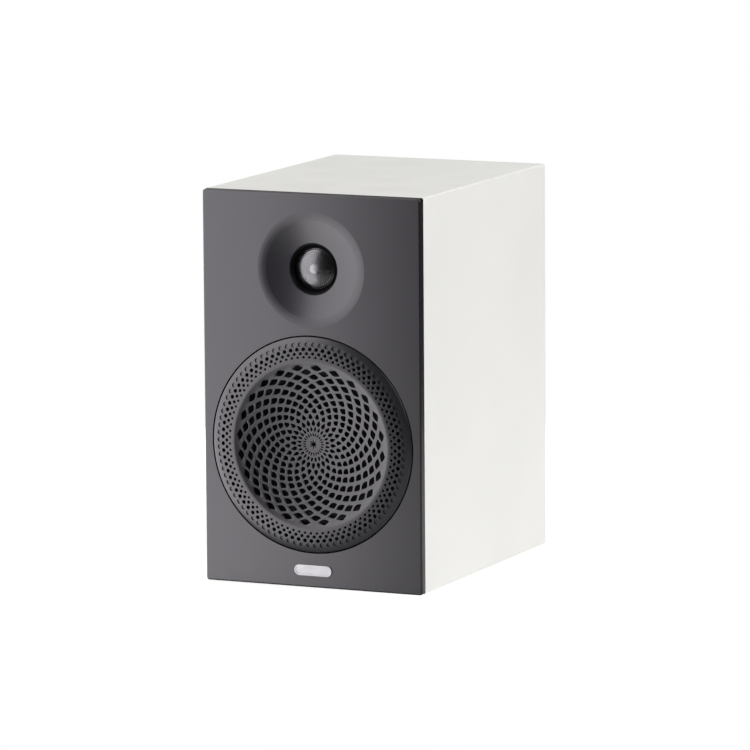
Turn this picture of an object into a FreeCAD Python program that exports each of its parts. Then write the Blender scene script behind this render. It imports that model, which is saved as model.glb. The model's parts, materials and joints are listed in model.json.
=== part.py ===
import FreeCAD, Part
import math
import os

# Two-way bookshelf loudspeaker, in millimetres. +X is the listener's right, +Z is up and the
# front faces -Y. Pieces are drawn with y = 0 on the front cover's face and y growing to the rear,
# with the floor at z = 0. write() then moves them so that the origin is under the middle of the
# object's box.

Vec = FreeCAD.Vector

# ---------------------------------------------------------------- cabinet
cabinet_width = 198.2
cabinet_height = 331.0
cabinet_depth = 266.8             # front cover's face to rear panel's face
cover_thickness = 7.0
panel_thickness = 12.0
front_board_thickness = 16.0
rear_panel_thickness = 12.0
cabinet_edge_round = 1.0
cover_corner_round = 2.4
cover_edge_round = 1.4

brace_thickness = 10.0
brace_setback = 104.0             # front cover's face to the brace
brace_rail = 22.0                 # width of the brace's frame
brace_window_round = 14.0

lining_thickness = 15.0
lining_margin = 12.0              # lining to brace and to rear panel

# ---------------------------------------------------------------- cover fixings
peg_radius = 3.0
peg_length = 8.0
peg_clearance = 0.1
peg_inset = 8.7                   # peg centre to the front board's edge
peg_middle_height = 225.0
magnet_radius = 6.0
magnet_thickness = 3.0
magnet_edge_inset = 9.0           # magnet centre to the front board's top or bottom edge
magnet_side_inset = 30.0          # magnet centre to the front board's side edge
magnet_clearance = 0.1

# ---------------------------------------------------------------- badge
badge_length = 34.0
badge_height = 9.0
badge_thickness = 1.6
badge_recess = 0.6
badge_rim = 1.1
badge_centre_height = 14.5

# ---------------------------------------------------------------- woofer lens
woofer_height = 120.7             # woofer axis above the floor
lens_radius = 91.3
lens_gap = 0.6                    # lens to front cover
lens_shell = 2.0
lens_rim = 2.0                    # thickness of the rim that stands on the cabinet
lens_crest_radius = 70.5
lens_crest_rise = 3.9             # crest in front of the cover's face
lens_shoulder_radius = 84.5
lens_shoulder_rise = 2.4
lens_edge_round = 1.2
lens_edge_fall = 0.35             # outer edge in front of the cover's face
lens_crest_bow = 0.17
lens_shoulder_bow = 0.56
lens_edge_bow = 0.16
lens_cut_reach = 8.0              # hole tools run this far each side of the cover's face
dish_radius = 67.0                # where the hollow dish begins
dish_edge_rise = 3.0
dish_sink = 3.0                   # dish centre behind the cover's face
dish_spokes = 24
dish_rings = 14
dish_first_ring = 8.5
dish_last_ring = 65.7
dish_twist = 8.58                 # degrees that each ring is turned from the one outside it
dish_outer_phase = 4.9            # degrees of the outermost ring's first hole from straight up
star_points = 8
star_tip_radius = 2.9
star_waist_radius = 1.3
kite_widest = 8.7                 # across the outermost ring's holes
kite_length = 4.4
rim_holes = 86
rim_rows = ((84.6, 1.5), (80.7, 1.3), (77.1, 1.05), (74.1, 0.8))   # row radius, hole radius
rim_blind_depth = 1.0
lens_pegs = 6
lens_peg_radius = 2.0
lens_peg_root = 2.0               # peg sunk into the rim
lens_peg_length = 5.0

# ---------------------------------------------------------------- woofer
frame_radius = 84.0
frame_flange = 4.0
frame_front = 8.2                 # flange's front face behind the cover's face
frame_rebate_clearance = 0.4
frame_throat = 70.0
frame_wall = 2.2
frame_spokes = 6
frame_foot_radius = 50.0
frame_floor = 3.0
frame_floor_back = 47.0           # back of the frame, where the motor is fixed
frame_bore_clearance = 2.2        # coil to the frame's floor
frame_window_start = 17.0
frame_window_end = 35.0
frame_window_width = 30.0
frame_window_inner = 40.0
frame_window_round = 5.0
spider_seat = 3.0
spider_ledge = 4.2                # width of the ledge that the spider is glued to
gasket_thickness = 0.8
woofer_cutout_clearance = 1.5
woofer_screws = 6
woofer_screw_circle = 80.3
woofer_screw_radius = 2.0
woofer_screw_length = 14.0
screw_hole_clearance = 0.25
screw_head_rise = 1.2             # pan head's rise over the shank's radius
screw_head_spread = 1.8           # pan head's radius over the shank's radius
screw_slot = 0.3                  # half width of the cross slot over the shank's radius
screw_slot_depth = 0.55           # slot's depth over the head's rise

surround_seat_outer = 76.4
surround_roll_outer = 74.0
surround_roll_inner = 62.0
surround_seat_inner = 58.5
surround_thickness = 0.6
surround_rise = 4.8

cone_radius = 62.3
cone_thickness = 0.7
cone_neck_y = 31.0
dust_cap_radius = 20.0
dust_cap_rise = 7.0
dust_cap_thickness = 0.5

pole_radius = 12.4
former_clearance = 0.4            # pole to former
former_wall = 0.3
former_back = 61.0
coil_thickness = 0.7
coil_length = 12.0
coil_clearance = 0.6              # coil to top plate
spider_radius = 47.0
spider_y = 34.0
spider_thickness = 0.5
spider_wave = 0.8
spider_waves = 5
spider_land_margin = 0.3          # flat outer land runs this far inside the frame's ledge
spider_neck = 1.5                 # flat inner land

top_plate_radius = 36.0
top_plate_thickness = 6.0
magnet_ring_radius = 42.0
magnet_ring_step = 5.6            # ring bore outside the top plate's bore
magnet_ring_thickness = 17.0
back_plate_radius = 38.0
back_plate_thickness = 6.0
pole_vent_radius = 4.0

strip_width = 26.0
strip_height = 10.0
strip_thickness = 2.0
tag_thickness = 0.6

# ---------------------------------------------------------------- tweeter
tweeter_height = 267.5
waveguide_radius = 48.5
waveguide_lip = 7.0               # soft outer lip of the waveguide
waveguide_lip_depth = 0.85
waveguide_lip_bow = 0.25
waveguide_bow = 0.35              # horn's middle behind the straight line
waveguide_depth = 5.2
throat_radius = 22.0
boss_radius = 39.0
boss_back = 12.5
boss_clearance = 1.0
collar_radius = 19.4
collar_clearance = 0.1
collar_front = 5.8
tweeter_lens_radius = 19.2
tweeter_lens_rise = 5.6
tweeter_lens_thickness = 0.6
tweeter_lens_flange = 21.4
tweeter_lens_rows = 13
tweeter_lens_pitch = 1.25
tweeter_hole_radius = 0.36

faceplate_radius = 36.0
faceplate_thickness = 4.0
faceplate_bore = 19.2
tweeter_screws = 3
tweeter_screw_circle = 32.0
tweeter_screw_radius = 1.5
tweeter_screw_length = 8.0

dome_radius = 12.7
dome_rise = 5.6
dome_thickness = 0.25
dome_surround_outer = 18.6
dome_surround_roll = 16.0
dome_surround_thickness = 0.35
dome_surround_rise = 1.4
dome_former_length = 5.6
dome_former_wall = 0.2
dome_coil_thickness = 0.5
dome_coil_length = 3.4
dome_gap = 0.4                    # clearance each side of the coil
tweeter_plate_radius = 28.0
tweeter_plate_thickness = 4.0
tweeter_magnet_bore = 15.5
tweeter_magnet_thickness = 9.0
tweeter_yoke_thickness = 4.0
tweeter_yoke_vent = 5.0
chamber_radius = 24.0
chamber_depth = 18.0
chamber_wall = 2.0

# ---------------------------------------------------------------- port
port_height = 262.0
port_radius = 25.0
port_wall = 2.5
port_length = 112.0
port_flare = 12.0
port_flange_radius = 44.0
port_flange_thickness = 2.5
port_hole_clearance = 0.5

# ---------------------------------------------------------------- terminal cup
cup_height = 72.0
cup_width = 78.0
cup_tall = 60.0
cup_corner = 12.0
cup_wall = 2.5
cup_floor = 3.0
cup_depth = 34.0                  # flange's face to the cup's floor
cup_flange = 12.0                 # width of the flange round the cup
cup_flange_thickness = 2.5
cup_clearance = 0.5
cup_gasket_thickness = 1.0
cup_screw_radius = 1.75
cup_screw_head_radius = 3.4
cup_screw_head_depth = 1.9
cup_screw_length = 11.0

post_spacing = 19.05
post_collar_radius = 6.0
post_collar_length = 4.0
post_stud_radius = 3.0
post_stud_length = 22.0
post_stud_inner = 12.0
post_bore_radius = 2.0            # takes a 4 mm plug
post_bore_length = 13.0
post_wire_hole_radius = 1.6
post_wire_hole_place = 6.6
post_washer_thickness = 1.2
post_washer_clearance = 0.3
post_face_gap = 0.1
post_cap_radius = 6.8
post_cap_length = 20.0
post_thread_clearance = 0.06
post_mouth_radius = 2.6
post_end_wall = 3.0
post_flutes = 12
post_flute_radius = 0.9
post_flute_start = 1.0
post_flute_end_gap = 0.8
post_hole_clearance = 0.1
post_edge_round = 0.8
post_ring_start = 12.0
post_ring_width = 4.0
post_ring_depth = 0.8
nut_across = 10.0
nut_thickness = 4.5
lug_thickness = 0.8
lug_radius = 5.0
lug_width = 5.0
lug_length = 14.0

# ---------------------------------------------------------------- crossover
board_length = 128.0
board_width = 88.0
board_thickness = 1.6
board_front = 132.0
board_lift = 8.0
board_hole_inset = 6.0
board_screw_radius = 1.5
spacer_radius = 3.5
bass_coil_radius = 20.0
bass_coil_height = 18.0
bass_coil_bore = 8.0
bass_coil_inset = 12.0
treble_coil_radius = 13.0
treble_coil_height = 11.0
treble_coil_bore = 5.0
treble_coil_inset = 14.0
bobbin_wall = 1.2
capacitor_radius = 7.0
capacitor_length = 27.0
resistor_length = 24.0
resistor_side = 9.0
resistor_inset = 10.0
resistor_front = 12.0             # first resistor behind the board's front edge
resistor_gap = 2.5
capacitor_front = 16.0            # first capacitor's axis behind the board's front edge
capacitor_gap = 1.5
capacitor_start = -2.0            # capacitors' left ends
brick_round = 0.8
can_round = 1.2

# ---------------------------------------------------------------- wires
wire_radius = 1.1
wire_pair_gap = 5.0

# ---------------------------------------------------------------- derived places
half_width = cabinet_width / 2
inner_half_width = half_width - panel_thickness
inner_bottom = panel_thickness
inner_top = cabinet_height - panel_thickness
front_board_front = cover_thickness
front_board_back = front_board_front + front_board_thickness
rear_panel_front = cabinet_depth - rear_panel_thickness
rear_face = cabinet_depth
rear_most = cabinet_depth + max(port_flange_thickness, cup_flange_thickness + cup_gasket_thickness)
middle_y = (rear_most - lens_crest_rise) / 2

cover_hole_radius = lens_radius + lens_gap
rebate_depth = frame_front + frame_flange + gasket_thickness - front_board_front
rebate_radius = frame_radius + frame_rebate_clearance
woofer_cutout = frame_throat + frame_wall + woofer_cutout_clearance
former_inner = pole_radius + former_clearance
former_outer = former_inner + former_wall
coil_outer = former_outer + coil_thickness
top_plate_bore = coil_outer + coil_clearance
magnet_ring_bore = top_plate_bore + magnet_ring_step
frame_bore = coil_outer + frame_bore_clearance
ledge_inner = frame_foot_radius - frame_wall - spider_ledge
top_plate_back = frame_floor_back + top_plate_thickness
magnet_ring_back = top_plate_back + magnet_ring_thickness
coil_middle = frame_floor_back + top_plate_thickness / 2

faceplate_front = boss_back
faceplate_back = faceplate_front + faceplate_thickness
lens_flange_back = boss_back
lens_flange_front = lens_flange_back - tweeter_lens_thickness
dome_base = faceplate_back - dome_surround_thickness
dome_former_inner = dome_radius - dome_former_wall
dome_coil_outer = dome_radius + dome_coil_thickness
dome_pole_radius = dome_former_inner - dome_gap
tweeter_plate_back = faceplate_back + tweeter_plate_thickness
tweeter_magnet_back = tweeter_plate_back + tweeter_magnet_thickness
tweeter_yoke_back = tweeter_magnet_back + tweeter_yoke_thickness

cup_face = cabinet_depth + cup_gasket_thickness + cup_flange_thickness
cup_floor_y = cup_face - cup_depth
board_bottom = inner_bottom + board_lift
board_top = board_bottom + board_thickness
board_back = board_front + board_width
post_places = {"positive": post_spacing / 2, "negative": -post_spacing / 2}


# ================================================================ helpers
def write(name, shape):
    """Save one piece, moved from the drawing frame to the object's own frame."""
    moved = shape.copy()
    moved.translate(Vec(0, -middle_y, 0))
    solids = moved.Solids
    bad = [s for s in solids if not s.isValid()]
    print(f"{name:28s} solids {len(solids)}  volume {moved.Volume / 1000:9.3f} cm3  bad {len(bad)}")
    moved.exportStep(f"parts/{name}.step")


def disc(radius, front, back, x=0.0, z=0.0):
    """Cylinder along Y between two depths."""
    return Part.makeCylinder(radius, back - front, Vec(x, front, z), Vec(0, 1, 0))


def ring(outer, inner, front, back, x=0.0, z=0.0):
    """Flat ring along Y between two depths."""
    return disc(outer, front, back, x, z).cut(disc(inner, front - 1, back + 1, x, z))


def block(x0, x1, y0, y1, z0, z1):
    """Box between two corners."""
    return Part.makeBox(x1 - x0, y1 - y0, z1 - z0, Vec(x0, y0, z0))


def point(radius, y):
    """Point of a turned profile, in the XY half plane."""
    return Vec(radius, y, 0)


def line(a, b):
    return Part.LineSegment(point(*a), point(*b)).toShape()


def arc(a, middle, b):
    return Part.Arc(point(*a), point(*middle), point(*b)).toShape()


def turned(edges, x=0.0, z=0.0):
    """Solid of revolution about the Y axis, then moved to x, z."""
    face = Part.Face(Part.Wire(edges))
    solid = face.revolve(Vec(0, 0, 0), Vec(0, 1, 0), 360)
    solid.translate(Vec(x, 0, z))
    return solid


def turned_polygon(points, x=0.0, z=0.0):
    """Solid of revolution of a closed polygon given as (radius, y) pairs."""
    pairs = zip(points, points[1:] + points[:1])
    return turned([line(a, b) for a, b in pairs], x, z)


def shell_of_arc(outer_end, middle, inner_end, thickness, x=0.0, z=0.0):
    """Thin turned shell: an arc of profile and its copy set back by the thickness."""
    back = [(p[0], p[1] + thickness) for p in (outer_end, middle, inner_end)]
    edges = [
        arc(outer_end, middle, inner_end),
        line(inner_end, back[2]),
        arc(back[2], back[1], back[0]),
        line(back[0], outer_end),
    ]
    return turned([e for e in edges if e.Length > 1e-6], x, z)


def cap_arc(radius, base_y, rise):
    """Depth of a spherical cap at a given radius, with its rim at base_y."""
    sphere = (radius * radius + rise * rise) / (2 * rise)

    def depth(r):
        return base_y - rise + sphere - math.sqrt(sphere * sphere - r * r)

    return depth


def dome_shell(radius, base_y, rise, thickness, x=0.0, z=0.0):
    """Spherical cap that bulges to the front, closed on the axis."""
    depth = cap_arc(radius, base_y, rise)
    half = radius / 2
    edges = [
        arc((radius, base_y), (half, depth(half)), (0, base_y - rise)),
        line((0, base_y - rise), (0, base_y - rise + thickness)),
        arc((0, base_y - rise + thickness), (half, depth(half) + thickness), (radius, base_y + thickness)),
        line((radius, base_y + thickness), (radius, base_y)),
    ]
    return turned(edges, x, z)


def rounded_plate(width, tall, corner, front, back, x=0.0, z=0.0):
    """Rounded rectangle in the XZ plane, thickened along Y."""
    box = block(x - width / 2, x + width / 2, front, back, z - tall / 2, z + tall / 2)
    upright = [e for e in box.Edges if abs(e.tangentAt(e.FirstParameter).y) > 0.99]
    return box.makeFillet(corner, upright)


def around(count, radius, x, z, start=0.0):
    """Places spread evenly on a circle in the XZ plane."""
    places = []
    for i in range(count):
        angle = math.radians(start + 360.0 * i / count)
        places.append((x + radius * math.sin(angle), z + radius * math.cos(angle)))
    return places


def pan_screw(front, length, radius, x, z):
    """Pan-head screw that enters towards +Y, with its head in front of the given face."""
    rise = radius * screw_head_rise
    spread = radius * screw_head_spread
    head = dome_shell(spread, front, rise, rise, x, z).common(disc(spread, front - rise, front, x, z))
    shank = disc(radius, front, front + length, x, z)
    slot = radius * screw_slot
    top, floor = front - rise - 1, front - rise * (1 - screw_slot_depth)
    cross = [
        block(x - radius, x + radius, top, floor, z - slot, z + slot),
        block(x - slot, x + slot, top, floor, z - radius, z + radius),
    ]
    return head.fuse(shank).cut(cross).removeSplitter()


def wire_path(points):
    """Straight runs joined by tangent arcs, each as large as its two runs allow."""
    nodes = [Vec(*p) for p in points]
    edges = []
    last = nodes[0]
    for before, corner, after in zip(nodes, nodes[1:], nodes[2:]):
        way_in = (corner - before).normalize()
        way_out = (after - corner).normalize()
        turn = math.acos(max(-1.0, min(1.0, way_in.dot(way_out))))
        reach = 0.45 * min((corner - before).Length, (after - corner).Length)
        start = corner - way_in * reach
        end = corner + way_out * reach
        radius = reach / math.tan(turn / 2)
        inward = (way_out - way_in).normalize()
        bisect = radius / math.cos(turn / 2) - radius
        edges.append(Part.LineSegment(last, start).toShape())
        edges.append(Part.Arc(start, corner + inward * bisect, end).toShape())
        last = end
    edges.append(Part.LineSegment(last, nodes[-1]).toShape())
    return Part.Wire(edges)


def wire_tube(points):
    """One insulated conductor along its path."""
    path = wire_path(points)
    first = (Vec(*points[1]) - Vec(*points[0])).normalize()
    section = Part.Wire(Part.makeCircle(wire_radius, Vec(*points[0]), first))
    return path.makePipeShell([section], True, False)


# ================================================================ cabinet
def cabinet_body():
    """Outer block of the wrapped cabinet, behind the front cover, with softened long edges."""
    box = block(-half_width, half_width, cover_thickness, rear_face, 0, cabinet_height)
    soft = []
    for edge in box.Edges:
        middle = edge.CenterOfMass
        lengthwise = abs(edge.tangentAt(edge.FirstParameter).y) > 0.99
        if lengthwise or abs(middle.y - rear_face) < 0.01:
            soft.append(edge)
    return box.makeFillet(cabinet_edge_round, soft)


def mitred_panel(outer, inner):
    """Wall panel between two outer and two inner corners, given as (x, z) pairs."""
    corners = [outer[0], outer[1], inner[1], inner[0]]
    wire = Part.makePolygon([Vec(x, cover_thickness, z) for x, z in corners + corners[:1]])
    return Part.Face(wire).extrude(Vec(0, cabinet_depth - cover_thickness, 0))


def wall_panels():
    body = cabinet_body()
    out = [(-half_width, 0), (half_width, 0), (half_width, cabinet_height), (-half_width, cabinet_height)]
    ins = [
        (-inner_half_width, inner_bottom),
        (inner_half_width, inner_bottom),
        (inner_half_width, inner_top),
        (-inner_half_width, inner_top),
    ]
    names = ["bottom_panel", "right_panel", "top_panel", "left_panel"]
    for i, name in enumerate(names):
        j = (i + 1) % 4
        panel = mitred_panel((out[i], out[j]), (ins[i], ins[j]))
        write(name, panel.common(body))


def rear_panel():
    panel = block(-inner_half_width, inner_half_width, rear_panel_front, rear_face, inner_bottom, inner_top)
    port_hole = disc(port_radius + port_flare + port_hole_clearance, 0, rear_face + 1, 0, port_height)
    cup_hole = rounded_plate(
        cup_width + 2 * (cup_wall + cup_clearance),
        cup_tall + 2 * (cup_wall + cup_clearance),
        cup_corner + cup_wall + cup_clearance,
        rear_panel_front - 1,
        rear_face + 1,
        0,
        cup_height,
    )
    holes = [disc(cup_screw_radius, rear_panel_front - 1, rear_face + 1, x, z) for x, z in cup_screw_places()]
    panel = panel.cut([port_hole, cup_hole] + holes)
    write("rear_panel", panel)


def cover_peg_places():
    side = inner_half_width - peg_inset
    heights = (inner_bottom + peg_inset, peg_middle_height, inner_top - peg_inset)
    return [(sign * side, z) for sign in (-1, 1) for z in heights]


def cover_magnet_places():
    side = inner_half_width - magnet_side_inset
    heights = (inner_bottom + magnet_edge_inset, inner_top - magnet_edge_inset)
    return [(sign * side, z) for sign in (-1, 1) for z in heights]


def lens_peg_places():
    return around(lens_pegs, lens_radius - lens_peg_radius, 0, woofer_height)


def woofer_screw_places():
    return around(woofer_screws, woofer_screw_circle, 0, woofer_height)


def front_board():
    board = block(
        -inner_half_width, inner_half_width, front_board_front, front_board_back, inner_bottom, inner_top
    )
    cuts = [
        disc(woofer_cutout, 0, front_board_back + 1, 0, woofer_height),
        disc(rebate_radius, 0, front_board_front + rebate_depth, 0, woofer_height),
        disc(boss_radius + boss_clearance, 0, front_board_back + 1, 0, tweeter_height),
    ]
    for x, z in cover_peg_places():
        cuts.append(disc(peg_radius + peg_clearance, 0, front_board_front + peg_length + 1, x, z))
    for x, z in lens_peg_places():
        cuts.append(disc(lens_peg_radius + peg_clearance, 0, front_board_front + lens_peg_length + 1, x, z))
    for x, z in cover_magnet_places():
        cuts.append(disc(magnet_radius + magnet_clearance, 0, front_board_front + magnet_thickness, x, z))
    for x, z in woofer_screw_places():
        cuts.append(disc(woofer_screw_radius, 0, front_board_back + 1, x, z))
    write("front_board", board.cut(cuts))


def brace():
    back = brace_setback + brace_thickness
    plate = block(-inner_half_width, inner_half_width, brace_setback, back, inner_bottom, inner_top)
    opening_width = 2 * (inner_half_width - brace_rail)
    opening_tall = (inner_top - inner_bottom - 3 * brace_rail) / 2
    low = inner_bottom + brace_rail + opening_tall / 2
    high = inner_top - brace_rail - opening_tall / 2
    for z in (low, high):
        window = rounded_plate(
            opening_width, opening_tall, brace_window_round, brace_setback - 1, back + 1, 0, z
        )
        plate = plate.cut(window)
    write("window_brace", plate)


def linings():
    front = brace_setback + brace_thickness + lining_margin
    back = rear_panel_front - lining_margin
    low = board_top + 2 * capacitor_radius + bass_coil_height + lining_margin
    high = inner_top - lining_thickness
    side = inner_half_width
    left = block(-side, -side + lining_thickness, front, back, low, high)
    right = block(side - lining_thickness, side, front, back, low, high)
    top = block(-side, side, front, back, high, inner_top)
    write("damping_lining", left.multiFuse([top, right]).removeSplitter())


# ================================================================ front cover
def waveguide_tool():
    """Shallow soft-lipped horn that is cut out of the cover, and the tweeter's throat."""
    lip_inner = waveguide_radius - waveguide_lip
    lip_depth = waveguide_lip_depth
    lip_middle = (waveguide_radius - waveguide_lip / 2, waveguide_lip_bow)
    half_depth = (lip_depth + waveguide_depth) / 2 + waveguide_bow
    half_radius = (lip_inner + throat_radius) / 2
    edges = [
        line((0, -2), (waveguide_radius, -2)),
        line((waveguide_radius, -2), (waveguide_radius, 0)),
        arc((waveguide_radius, 0), lip_middle, (lip_inner, lip_depth)),
        arc((lip_inner, lip_depth), (half_radius, half_depth), (throat_radius, waveguide_depth)),
        line((throat_radius, waveguide_depth), (throat_radius, boss_back + 1)),
        line((throat_radius, boss_back + 1), (0, boss_back + 1)),
        line((0, boss_back + 1), (0, -2)),
    ]
    return turned(edges, 0, tweeter_height)


def front_cover():
    plate = block(-half_width, half_width, 0, cover_thickness, 0, cabinet_height)
    upright = [e for e in plate.Edges if abs(e.tangentAt(e.FirstParameter).y) > 0.99]
    plate = plate.makeFillet(cover_corner_round, upright)
    front = [e for e in plate.Edges if abs(e.CenterOfMass.y) < 0.01]
    plate = plate.makeFillet(cover_edge_round, front)
    solids = [disc(boss_radius, cover_thickness, boss_back, 0, tweeter_height)]
    for x, z in cover_peg_places():
        solids.append(disc(peg_radius, cover_thickness, cover_thickness + peg_length, x, z))
    plate = plate.multiFuse(solids)
    cuts = [disc(cover_hole_radius, -1, cover_thickness + 1, 0, woofer_height), waveguide_tool()]
    pilot = tweeter_screw_length - faceplate_thickness
    for x, z in tweeter_screw_places():
        cuts.append(disc(tweeter_screw_radius, boss_back - pilot, boss_back + 1, x, z))
    cuts.append(badge_blank(0, badge_recess))
    write("front_cover", plate.cut(cuts))


def badge_blank(front, back, shrink=0.0):
    tall = badge_height - 2 * shrink
    wide = badge_length - 2 * shrink
    return rounded_plate(wide, tall, tall / 2 - 0.01, front, back, 0, badge_centre_height)


def badge():
    """Plain pill-shaped trim plate with a raised rim and a sunk field."""
    plate = badge_blank(badge_recess - badge_thickness, badge_recess)
    field = badge_blank(-badge_thickness, badge_recess - badge_thickness + 0.4, badge_rim)
    write("badge", plate.cut(field))


def cover_magnets():
    discs = []
    for x, z in cover_magnet_places():
        discs.append(disc(magnet_radius, front_board_front, front_board_front + magnet_thickness, x, z))
    write("grille_magnets", Part.makeCompound(discs))


# ================================================================ woofer lens
def dish_depth(r):
    """Depth of the dish's front surface at radius r, as a shallow sphere."""
    sag = dish_sink + dish_edge_rise
    sphere = (dish_radius * dish_radius + sag * sag) / (2 * sag)
    return dish_sink - (sphere - math.sqrt(sphere * sphere - r * r))


def lens_profile():
    crest = (lens_crest_radius, -lens_crest_rise)
    dish_edge = (dish_radius, -dish_edge_rise)
    to_crest = ((dish_radius + lens_crest_radius) / 2, -lens_crest_rise + lens_crest_bow)
    shoulder = (lens_shoulder_radius, -lens_shoulder_rise)
    falling = ((lens_crest_radius + lens_shoulder_radius) / 2, -lens_crest_rise + lens_shoulder_bow)
    edge_top = (lens_radius - lens_edge_round, -lens_edge_fall)
    edge_side = (lens_radius, lens_edge_round - lens_edge_fall)
    bend = 1 - math.sqrt(0.5)
    edge_middle = (lens_radius - bend * lens_edge_round, bend * lens_edge_round - lens_edge_fall)
    half_way = (edge_top[1] - lens_shoulder_rise) / 2
    to_edge = ((lens_shoulder_radius + edge_top[0]) / 2, half_way - lens_edge_bow)
    half = dish_radius / 2
    t = lens_shell
    inner = lens_radius - lens_rim
    seat = cover_thickness
    return [
        arc((0, dish_sink), (half, dish_depth(half)), dish_edge),
        arc(dish_edge, to_crest, crest),
        arc(crest, falling, shoulder),
        arc(shoulder, to_edge, edge_top),
        arc(edge_top, edge_middle, edge_side),
        line(edge_side, (lens_radius, seat)),
        line((lens_radius, seat), (inner, seat)),
        line((inner, seat), (inner, edge_top[1] + t)),
        arc((inner, edge_top[1] + t), (to_edge[0], to_edge[1] + t), (shoulder[0], shoulder[1] + t)),
        arc((shoulder[0], shoulder[1] + t), (falling[0], falling[1] + t), (crest[0], crest[1] + t)),
        arc((crest[0], crest[1] + t), (to_crest[0], to_crest[1] + t), (dish_edge[0], dish_edge[1] + t)),
        arc((dish_edge[0], dish_edge[1] + t), (half, dish_depth(half) + t), (0, dish_sink + t)),
        line((0, dish_sink + t), (0, dish_sink)),
    ]


def kite_hole(radius, wide, long, waist, angle):
    """Tool for a bow-sided kite that points outwards; waist is where along it the side tips are."""
    low = -lens_cut_reach
    inner = radius - long * 0.46
    outer = inner + long
    side = inner + long * waist
    bow = 0.08 * long
    tip_left, tip_right = Vec(-wide / 2, low, side), Vec(wide / 2, low, side)
    point = Vec(0, low, outer)
    shoulder_up = side + (outer - side) * 0.5 + bow
    wire = Part.Wire([
        Part.Arc(tip_left, Vec(-wide * 0.27, low, shoulder_up), point).toShape(),
        Part.Arc(point, Vec(wide * 0.27, low, shoulder_up), tip_right).toShape(),
        Part.Arc(tip_right, Vec(0, low, inner), tip_left).toShape(),
    ])
    hole = Part.Face(wire).extrude(Vec(0, 2 * lens_cut_reach, 0))
    hole.rotate(Vec(0, 0, 0), Vec(0, 1, 0), angle)
    hole.translate(Vec(0, 0, woofer_height))
    return hole


def star_hole():
    """Tool for the star-shaped hole on the lens axis."""
    tips = around(star_points, star_tip_radius, 0, woofer_height)
    waists = around(star_points, star_waist_radius, 0, woofer_height, start=180.0 / star_points)
    corners = [Vec(x, -lens_cut_reach, z) for pair in zip(tips, waists) for x, z in pair]
    face = Part.Face(Part.makePolygon(corners + corners[:1]))
    return face.extrude(Vec(0, 2 * lens_cut_reach, 0))


def dish_holes():
    """Spiral field: each ring is turned from the next, with slits near the hub and kites further out."""
    holes = []
    step = (dish_last_ring - dish_first_ring) / (dish_rings - 1)
    for i in range(dish_rings):
        radius = dish_first_ring + step * i
        share = radius / dish_last_ring
        wide = kite_widest * share * min(1.0, 0.42 + 2.2 * max(0.0, share - 0.08))
        long = min(kite_length, kite_length * (0.25 + 2.6 * max(0.0, share - 0.08)))
        waist = 0.30 + 0.13 * max(0.0, (share - 0.4) / 0.6)
        turns = dish_rings - 1 - i
        for k in range(dish_spokes):
            angle = dish_outer_phase + 360.0 * k / dish_spokes - dish_twist * turns
            holes.append(kite_hole(radius, wide, long, waist, angle))
    return holes


def rim_hole_rows():
    holes = []
    for row, (radius, hole) in enumerate(rim_rows):
        shift = 180.0 / rim_holes * (row % 2)
        deep = rim_blind_depth - lens_shoulder_rise if row == 0 else cover_thickness
        for x, z in around(rim_holes, radius, 0, woofer_height, start=shift):
            holes.append(disc(hole, -lens_cut_reach, deep, x, z))
    return holes


def woofer_lens():
    shell = turned(lens_profile(), 0, woofer_height)
    pegs = []
    root, tip = cover_thickness - lens_peg_root, cover_thickness + lens_peg_length
    for x, z in lens_peg_places():
        pegs.append(disc(lens_peg_radius, root, tip, x, z))
    shell = shell.multiFuse(pegs).removeSplitter()
    for batch in (rim_hole_rows(), dish_holes(), [star_hole()]):
        shell = shell.cut(Part.makeCompound(batch))
    write("woofer_lens", shell)


# ================================================================ woofer
def woofer_frame():
    """Cast basket: flange, open wall between spokes, spider seat and motor floor."""
    back = frame_floor_back
    front = frame_front
    wall = frame_wall
    flange_back = front + frame_flange
    profile = [
        (frame_radius, front),
        (frame_radius, flange_back),
        (frame_throat + wall, flange_back),
        (frame_foot_radius + wall, spider_y + spider_seat),
        (frame_foot_radius + wall, back),
        (frame_bore, back),
        (frame_bore, back - frame_floor),
        (frame_foot_radius - wall, back - frame_floor),
        (frame_foot_radius - wall, spider_y + spider_seat),
        (ledge_inner, spider_y + spider_seat),
        (ledge_inner, spider_y + spider_thickness),
        (frame_foot_radius, spider_y + spider_thickness),
        (frame_throat, flange_back - 1),
        (frame_throat, front),
    ]
    basket = turned_polygon(profile, 0, woofer_height)
    hole = woofer_screw_radius + screw_hole_clearance
    holes = [disc(hole, 0, back, x, z) for x, z in woofer_screw_places()]
    cuts = list(holes)
    half = frame_window_width / 2
    for i in range(frame_spokes):
        window = block(-half, half, frame_window_start, frame_window_end, frame_window_inner, frame_radius)
        upright = [e for e in window.Edges if abs(e.tangentAt(e.FirstParameter).z) > 0.99]
        window = window.makeFillet(frame_window_round, upright)
        window.rotate(Vec(0, 0, 0), Vec(0, 1, 0), (i + 0.5) * 360.0 / frame_spokes)
        window.translate(Vec(0, 0, woofer_height))
        cuts.append(window)
    write("woofer_frame", basket.cut(cuts))
    gasket = ring(frame_radius, frame_throat + wall + 0.5, flange_back, flange_back + gasket_thickness,
                  0, woofer_height)
    write("woofer_gasket", gasket.cut(holes))


def woofer_fixings():
    screws = [
        pan_screw(frame_front, woofer_screw_length, woofer_screw_radius, x, z)
        for x, z in woofer_screw_places()
    ]
    write("woofer_screws", Part.makeCompound(screws))


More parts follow.
